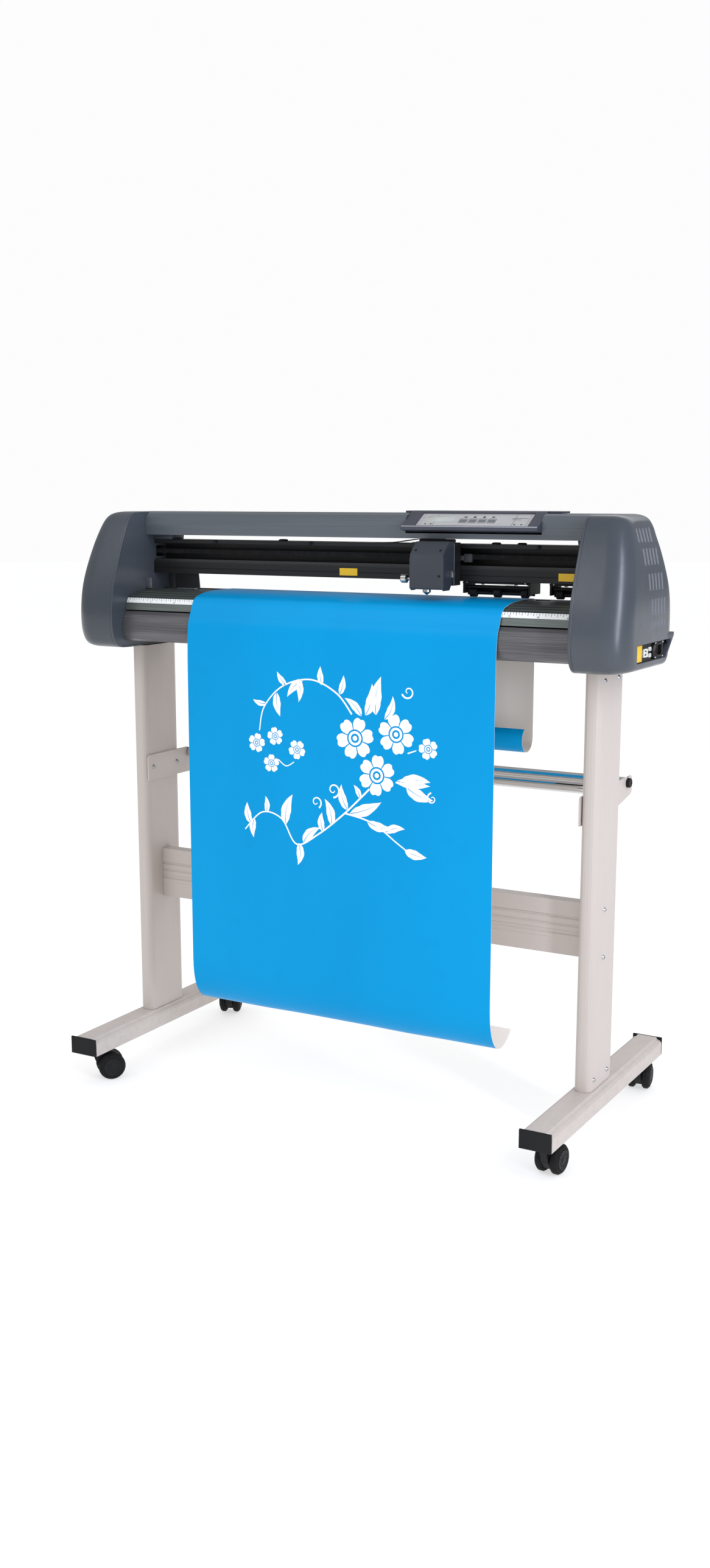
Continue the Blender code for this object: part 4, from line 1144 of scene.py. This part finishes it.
def make_sheet():
    """A closed film: blue outer face, paper liner inside."""
    bm = bmesh.new()
    web = bm.loops.layers.uv.new("web")
    columns = [SHEET_LO.x + (SHEET_HI.x - SHEET_LO.x) * i / SHEET_COLUMNS
               for i in range(SHEET_COLUMNS + 1)]
    sides = {}
    for half in (0.5, -0.5):
        for i, point in enumerate(WEB):
            for j, x in enumerate(columns):
                lift = ripple(x, WEB_LENGTHS[i]) + half * FILM_THICK
                place = point + web_normal(i) * lift
                sides[half, i, j] = bm.verts.new((x, place.x, place.y))

    def face(corners, material):
        made = bm.faces.new([sides[c] for c in corners])
        made.material_index = material
        for loop, (_, i, j) in zip(made.loops, corners):
            loop[web].uv = (columns[j] * MM, WEB_LENGTHS[i] * MM)

    rows, last = len(WEB) - 1, SHEET_COLUMNS
    for i in range(rows):
        for j in range(last):
            face([(0.5, i, j), (0.5, i, j + 1), (0.5, i + 1, j + 1), (0.5, i + 1, j)], 0)
            face([(-0.5, i, j), (-0.5, i + 1, j), (-0.5, i + 1, j + 1), (-0.5, i, j + 1)], 1)
        for j in (0, last):
            face([(0.5, i, j), (0.5, i + 1, j), (-0.5, i + 1, j), (-0.5, i, j)], 1)
    for j in range(last):
        for i in (0, rows):
            face([(0.5, i, j), (-0.5, i, j), (-0.5, i, j + 1), (0.5, i, j + 1)], 1)
    bmesh.ops.recalc_face_normals(bm, faces=bm.faces)
    sheet = stand_in("hanging_vinyl", bm)
    sheet.data.materials.append(FILM)
    sheet.data.materials.append(LINER)
    return dress(sheet, "frame", None, 50.0)


def front_place(x, z, lift):
    """A point on the blue face of the front fall, at a height."""
    start = next(i for i in range(len(WEB)) if WEB[i].x < -100 and WEB[i].y < z)
    upper, lower = WEB[start - 1], WEB[start]
    share = (upper.y - z) / (upper.y - lower.y)
    here = upper.lerp(lower, share)
    length = WEB_LENGTHS[start - 1] + (lower - upper).length * share
    return Vector((x, here.x - FILM_THICK / 2 - ripple(x, length) - lift, z))


# ---------------------------------------------------------------- cut flower scroll

def flowing(points, steps=10):
    """A smooth curve through points in the plane."""
    ends = [points[0], *points, points[-1]]
    curve = []
    for a, b, c, d in zip(ends, ends[1:], ends[2:], ends[3:]):
        a, b, c, d = map(Vector, (a, b, c, d))
        for i in range(steps):
            t = i / steps
            curve.append(0.5 * (2 * b + (c - a) * t + (2 * a - 5 * b + 4 * c - d) * t * t
                                + (3 * b - a - 3 * c + d) * t ** 3))
    return curve + [Vector(points[-1])]


def band(middle, width):
    """The two edges of a ribbon whose width is a function of the share travelled."""
    left, right = [], []
    for i, point in enumerate(middle):
        along = (middle[min(i + 1, len(middle) - 1)] - middle[max(i - 1, 0)]).normalized()
        reach = width(i / (len(middle) - 1)) / 2
        left.append(point + Vector((-along.y, along.x)) * reach)
        right.append(point - Vector((-along.y, along.x)) * reach)
    return left, right


def stem(points, thick, thin):
    return [band(flowing(points), lambda t: thick + (thin - thick) * t)]


def leaf(base, angle, length, width, bend=0.0, lobes=3):
    """Two lobed halves either side of a narrow vein."""
    heading, middle = math.radians(angle), [Vector(base)]
    steps = 22
    for i in range(steps):
        turn = heading + math.radians(bend) * i / steps
        middle.append(middle[-1] + Vector((math.cos(turn), math.sin(turn))) * length / steps)

    def outer(t):
        swell = math.sin(math.pi * t ** 0.8)
        return width * max(0.02, swell) * (1 + 0.22 * abs(math.sin(math.pi * lobes * t)) * (1 - t))

    left, right = band(middle, outer)
    vein_left, vein_right = band(middle, lambda t: min(1.4, outer(t) * 0.4) * (1 - t))
    return [(left, vein_left), (vein_right, right)]


def around(centre, turn, radius, share=1.0):
    """The point in a direction from a centre, at a share of a radius."""
    return Vector(centre) + Vector((math.cos(turn), math.sin(turn))) * radius * share


def curl(centre, radius, start, turns, thick):
    """A tendril that winds inwards and thins."""
    steps = int(26 * turns)
    middle = []
    for i in range(steps + 1):
        t = i / steps
        turn = math.radians(start) + math.tau * turns * t
        middle.append(around(centre, turn, radius, 1 - 0.8 * t))
    return [band(middle, lambda t: thick * (1 - 0.6 * t))]


def blossom(centre, radius, petals, phase=0.0):
    """Rounded, notched petals round a ring and a dot."""
    shapes = []
    for number in range(petals):
        heading = math.tau * number / petals + phase
        spread = math.pi / petals * 0.9
        edge, heart = [], []
        for i in range(17):
            t = i / 16 * 2 - 1
            reach = radius * (1.0 - 0.30 * abs(t) ** 3 - 0.07 * math.exp(-(t * 5) ** 2))
            turn = heading + spread * t
            edge.append(around(centre, turn, reach))
            heart.append(around(centre, turn, radius, 0.42))
        shapes.append((edge, heart))
    turns = [math.tau * i / 24 for i in range(25)]
    shapes.append(([around(centre, a, radius, 0.34) for a in turns],
                   [around(centre, a, radius, 0.22) for a in turns]))
    dot = [around(centre, math.tau * i / 12, radius, 0.12) for i in range(13)]
    shapes.append((dot, [Vector(centre)] * 13))
    return shapes


def flower_scroll():
    """A rambling wreath: three large flowers, small ones, and leaves along its stems."""
    shapes = []
    blooms = [((50, 664), 36, 6, 0.2), ((128, 676), 34, 6, 0.7), ((92, 604), 35, 6, 0.45),
              ((-146, 642), 17, 5, 0.1), ((-108, 656), 16, 5, 0.5), ((-64, 636), 17, 5, 0.9),
              ((-116, 608), 16, 5, 0.3), ((188, 656), 18, 5, 0.6)]
    for centre, radius, petals, phase in blooms:
        shapes += blossom(centre, radius, petals, phase)
    stems = [
        ([(44, 704), (14, 738), (-36, 758), (-92, 744), (-130, 706), (-140, 664)], 3.0, 2.0),
        ([(-102, 616), (-86, 606), (-70, 614)], 2.0, 1.6),
        ([(-172, 486), (-136, 520), (-96, 512), (-66, 470), (-22, 492), (26, 530), (64, 566),
          (78, 580)], 2.2, 3.2),
        ([(30, 534), (84, 522), (132, 492), (168, 470)], 3.0, 2.0),
        ([(128, 596), (156, 588), (184, 594)], 2.6, 1.8),
        ([(150, 646), (166, 652)], 2.4, 1.8),
    ]
    for points, thick, thin in stems:
        shapes += stem(points, thick, thin)
    leaves = [
        ((20, 736), 62, 34, 11, 30), ((-14, 750), 110, 32, 11, -30), ((-52, 756), 205, 44, 13, 40),
        ((-84, 746), 150, 30, 10, -40), ((-104, 732), 262, 42, 14, 36),
        ((-126, 712), 190, 28, 9, -46), ((-60, 758), 286, 40, 12, -34),
        ((70, 704), 58, 56, 17, 40), ((90, 706), 98, 66, 20, -34), ((62, 702), 118, 44, 13, 42),
        ((106, 700), 40, 44, 13, 60),
        ((-160, 498), 118, 38, 13, -36), ((-152, 508), 246, 36, 12, 44),
        ((-128, 520), 70, 30, 10, 46), ((-88, 502), 96, 58, 18, -44),
        ((-62, 472), 292, 40, 14, -52), ((-52, 474), 66, 46, 15, -52),
        ((-12, 498), 118, 34, 12, -50), ((4, 510), 84, 48, 15, 46), ((36, 540), 128, 46, 14, -46),
        ((40, 534), 12, 66, 19, 22), ((74, 524), 332, 50, 15, 40), ((108, 508), 38, 40, 13, -50),
        ((146, 482), 336, 42, 15, 26), ((60, 562), 100, 26, 9, 40),
        ((136, 594), 26, 58, 18, -40), ((148, 590), 322, 54, 19, 36), ((130, 598), 352, 62, 15, 10),
    ]
    for base, angle, length, width, bend in leaves:
        shapes += leaf(base, angle, length, width, bend)
    tendrils = [((8, 572), 13, -90, 1.2, 3.4), ((150, 748), 12, 200, 1.1, 3.2),
                ((-26, 548), 11, -60, 1.1, 3.0), ((196, 574), 10, 100, 1.1, 2.8)]
    for centre, radius, start, turns, thick in tendrils:
        shapes += curl(centre, radius, start, turns, thick)
    return shapes


def make_scroll():
    bm = bmesh.new()
    web = bm.loops.layers.uv.new("web")
    for level, (first, second) in enumerate(flower_scroll()):
        lift = 0.1 + 0.004 * (level % 6)
        rows = [[bm.verts.new(front_place(p.x, p.y, lift)) for p in edge]
                for edge in (first, second)]
        for i in range(len(first) - 1):
            corners = [rows[0][i], rows[0][i + 1], rows[1][i + 1], rows[1][i]]
            made = bm.faces.new(corners)
            for loop in made.loops:
                loop[web].uv = (loop.vert.co.x * MM, loop.vert.co.z * MM)
    bmesh.ops.remove_doubles(bm, verts=bm.verts, dist=0.002)
    loose = [f for f in bm.faces if f.calc_area() < 1e-4]
    bmesh.ops.delete(bm, geom=loose, context="FACES")
    bm.normal_update()
    turned = [f for f in bm.faces if f.normal.y > 0]
    bmesh.ops.reverse_faces(bm, faces=turned)
    scroll = stand_in("cut_scroll", bm)
    wall = scroll.modifiers.new("film", "SOLIDIFY")
    wall.thickness = 0.06 * MM
    wall.offset = -1.0
    settle(scroll)
    return dress(scroll, "frame", CUT_WHITE)


# ---------------------------------------------------------------- studio

def make_floor():
    """A pale floor far wider than the machine."""
    bm = bmesh.new()
    bmesh.ops.create_circle(bm, cap_ends=True, radius=24000.0, segments=64)
    floor = stand_in("studio_floor", bm)
    f = Finish("studio_floor")
    drift = f.clouds(0.4, detail=2.0)
    colour = f.blend(drift, (0.47, 0.47, 0.47, 1), (0.49, 0.49, 0.49, 1))
    floor.data.materials.append(f.close(colour, 0.9 + (drift - 0.5) * 0.02,
                                        emission_color=(1, 1, 1, 1), emission_strength=0.56))


def make_light(name, place, aim, size, power, tint=(1, 1, 1)):
    data = bpy.data.lights.new(name, "AREA")
    data.shape = "RECTANGLE"
    data.size, data.size_y = size
    data.energy = power
    data.color = tint
    lamp = bpy.data.objects.new(name, data)
    lamp.location = place
    lamp.rotation_euler = (Vector(aim) - Vector(place)).to_track_quat("-Z", "Y").to_euler()
    SCENE.collection.objects.link(lamp)


def make_world():
    world = bpy.data.worlds.new("studio_air")
    SCENE.world = world
    world.use_nodes = True
    sky = Graph(world.node_tree)
    world.node_tree.nodes.clear()
    seen = sky.node("ShaderNodeLightPath", output="Is Camera Ray")
    mirrored = sky.node("ShaderNodeLightPath", output="Is Glossy Ray")
    ray = sky.node("ShaderNodeTexCoord", output="Generated")
    up = Field(sky, sky.node("ShaderNodeSeparateXYZ", None, {0: ray}).socket.node.outputs[2])
    grey = {"stops": [(0.0, (0.5, 0.5, 0.5, 1)), (0.46, (0.42, 0.42, 0.43, 1)),
                      (0.6, (0.8, 0.81, 0.83, 1)), (1.0, (1.0, 1.0, 1.0, 1))]}
    dome = sky.node("ShaderNodeValToRGB", grey, {0: up * 0.5 + 0.5})
    dimmed = sky.node("ShaderNodeMix", {"data_type": "RGBA"},
                      {0: mirrored * 0.6, 6: dome, 7: (0.05, 0.055, 0.065, 1)}, 2)
    mixed = sky.node("ShaderNodeMix", {"data_type": "RGBA"},
                     {0: seen, 6: dimmed, 7: (0.98, 0.98, 0.98, 1)}, 2)
    light = sky.node("ShaderNodeBackground", None, {"Color": mixed, "Strength": 1.0})
    sky.node("ShaderNodeOutputWorld", None, {"Surface": light})


def make_camera():
    """Stands to the right of the machine's front and looks a little down on it."""
    turn, dip = math.radians(29.45), math.radians(10.99)
    level = math.cos(dip)
    heading = Vector((-math.sin(turn) * level, math.cos(turn) * level, -math.sin(dip)))
    data = bpy.data.cameras.new("camera")
    data.lens = 36.67
    data.sensor_width = 36.0
    data.shift_y = 0.0138
    data.clip_start, data.clip_end = 0.05, 100.0
    camera = bpy.data.objects.new("camera", data)
    camera.location = (1.35474, -2.44138, 1.06419)
    camera.rotation_euler = heading.to_track_quat("-Z", "Y").to_euler()
    SCENE.collection.objects.link(camera)
    SCENE.camera = camera


make_camera()
make_covers()
make_ports()
make_head_trim()
make_ruler_numbers()
make_panel_trim()
make_carriage_trim()
for unit in ("middle", "right"):
    make_roller_trim(unit)
make_stand_trim()
vinyl = make_sheet()
scroll = make_scroll()
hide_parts("vinyl_sheet")

make_floor()
make_world()
make_light("key", (-1.6, -3.2, 3.2), (0, 0, 0.6), (2.2, 1.6), 20)
make_light("strip", (2.3, -1.15, 1.55), (0.5, -0.12, 0.95), (0.22, 2.2), 38, (0.82, 0.87, 1.0))
make_light("back", (0.4, 3.0, 2.8), (0, 0, 0.8), (3.0, 1.2), 16)
SCENE.view_settings.view_transform = "Standard"
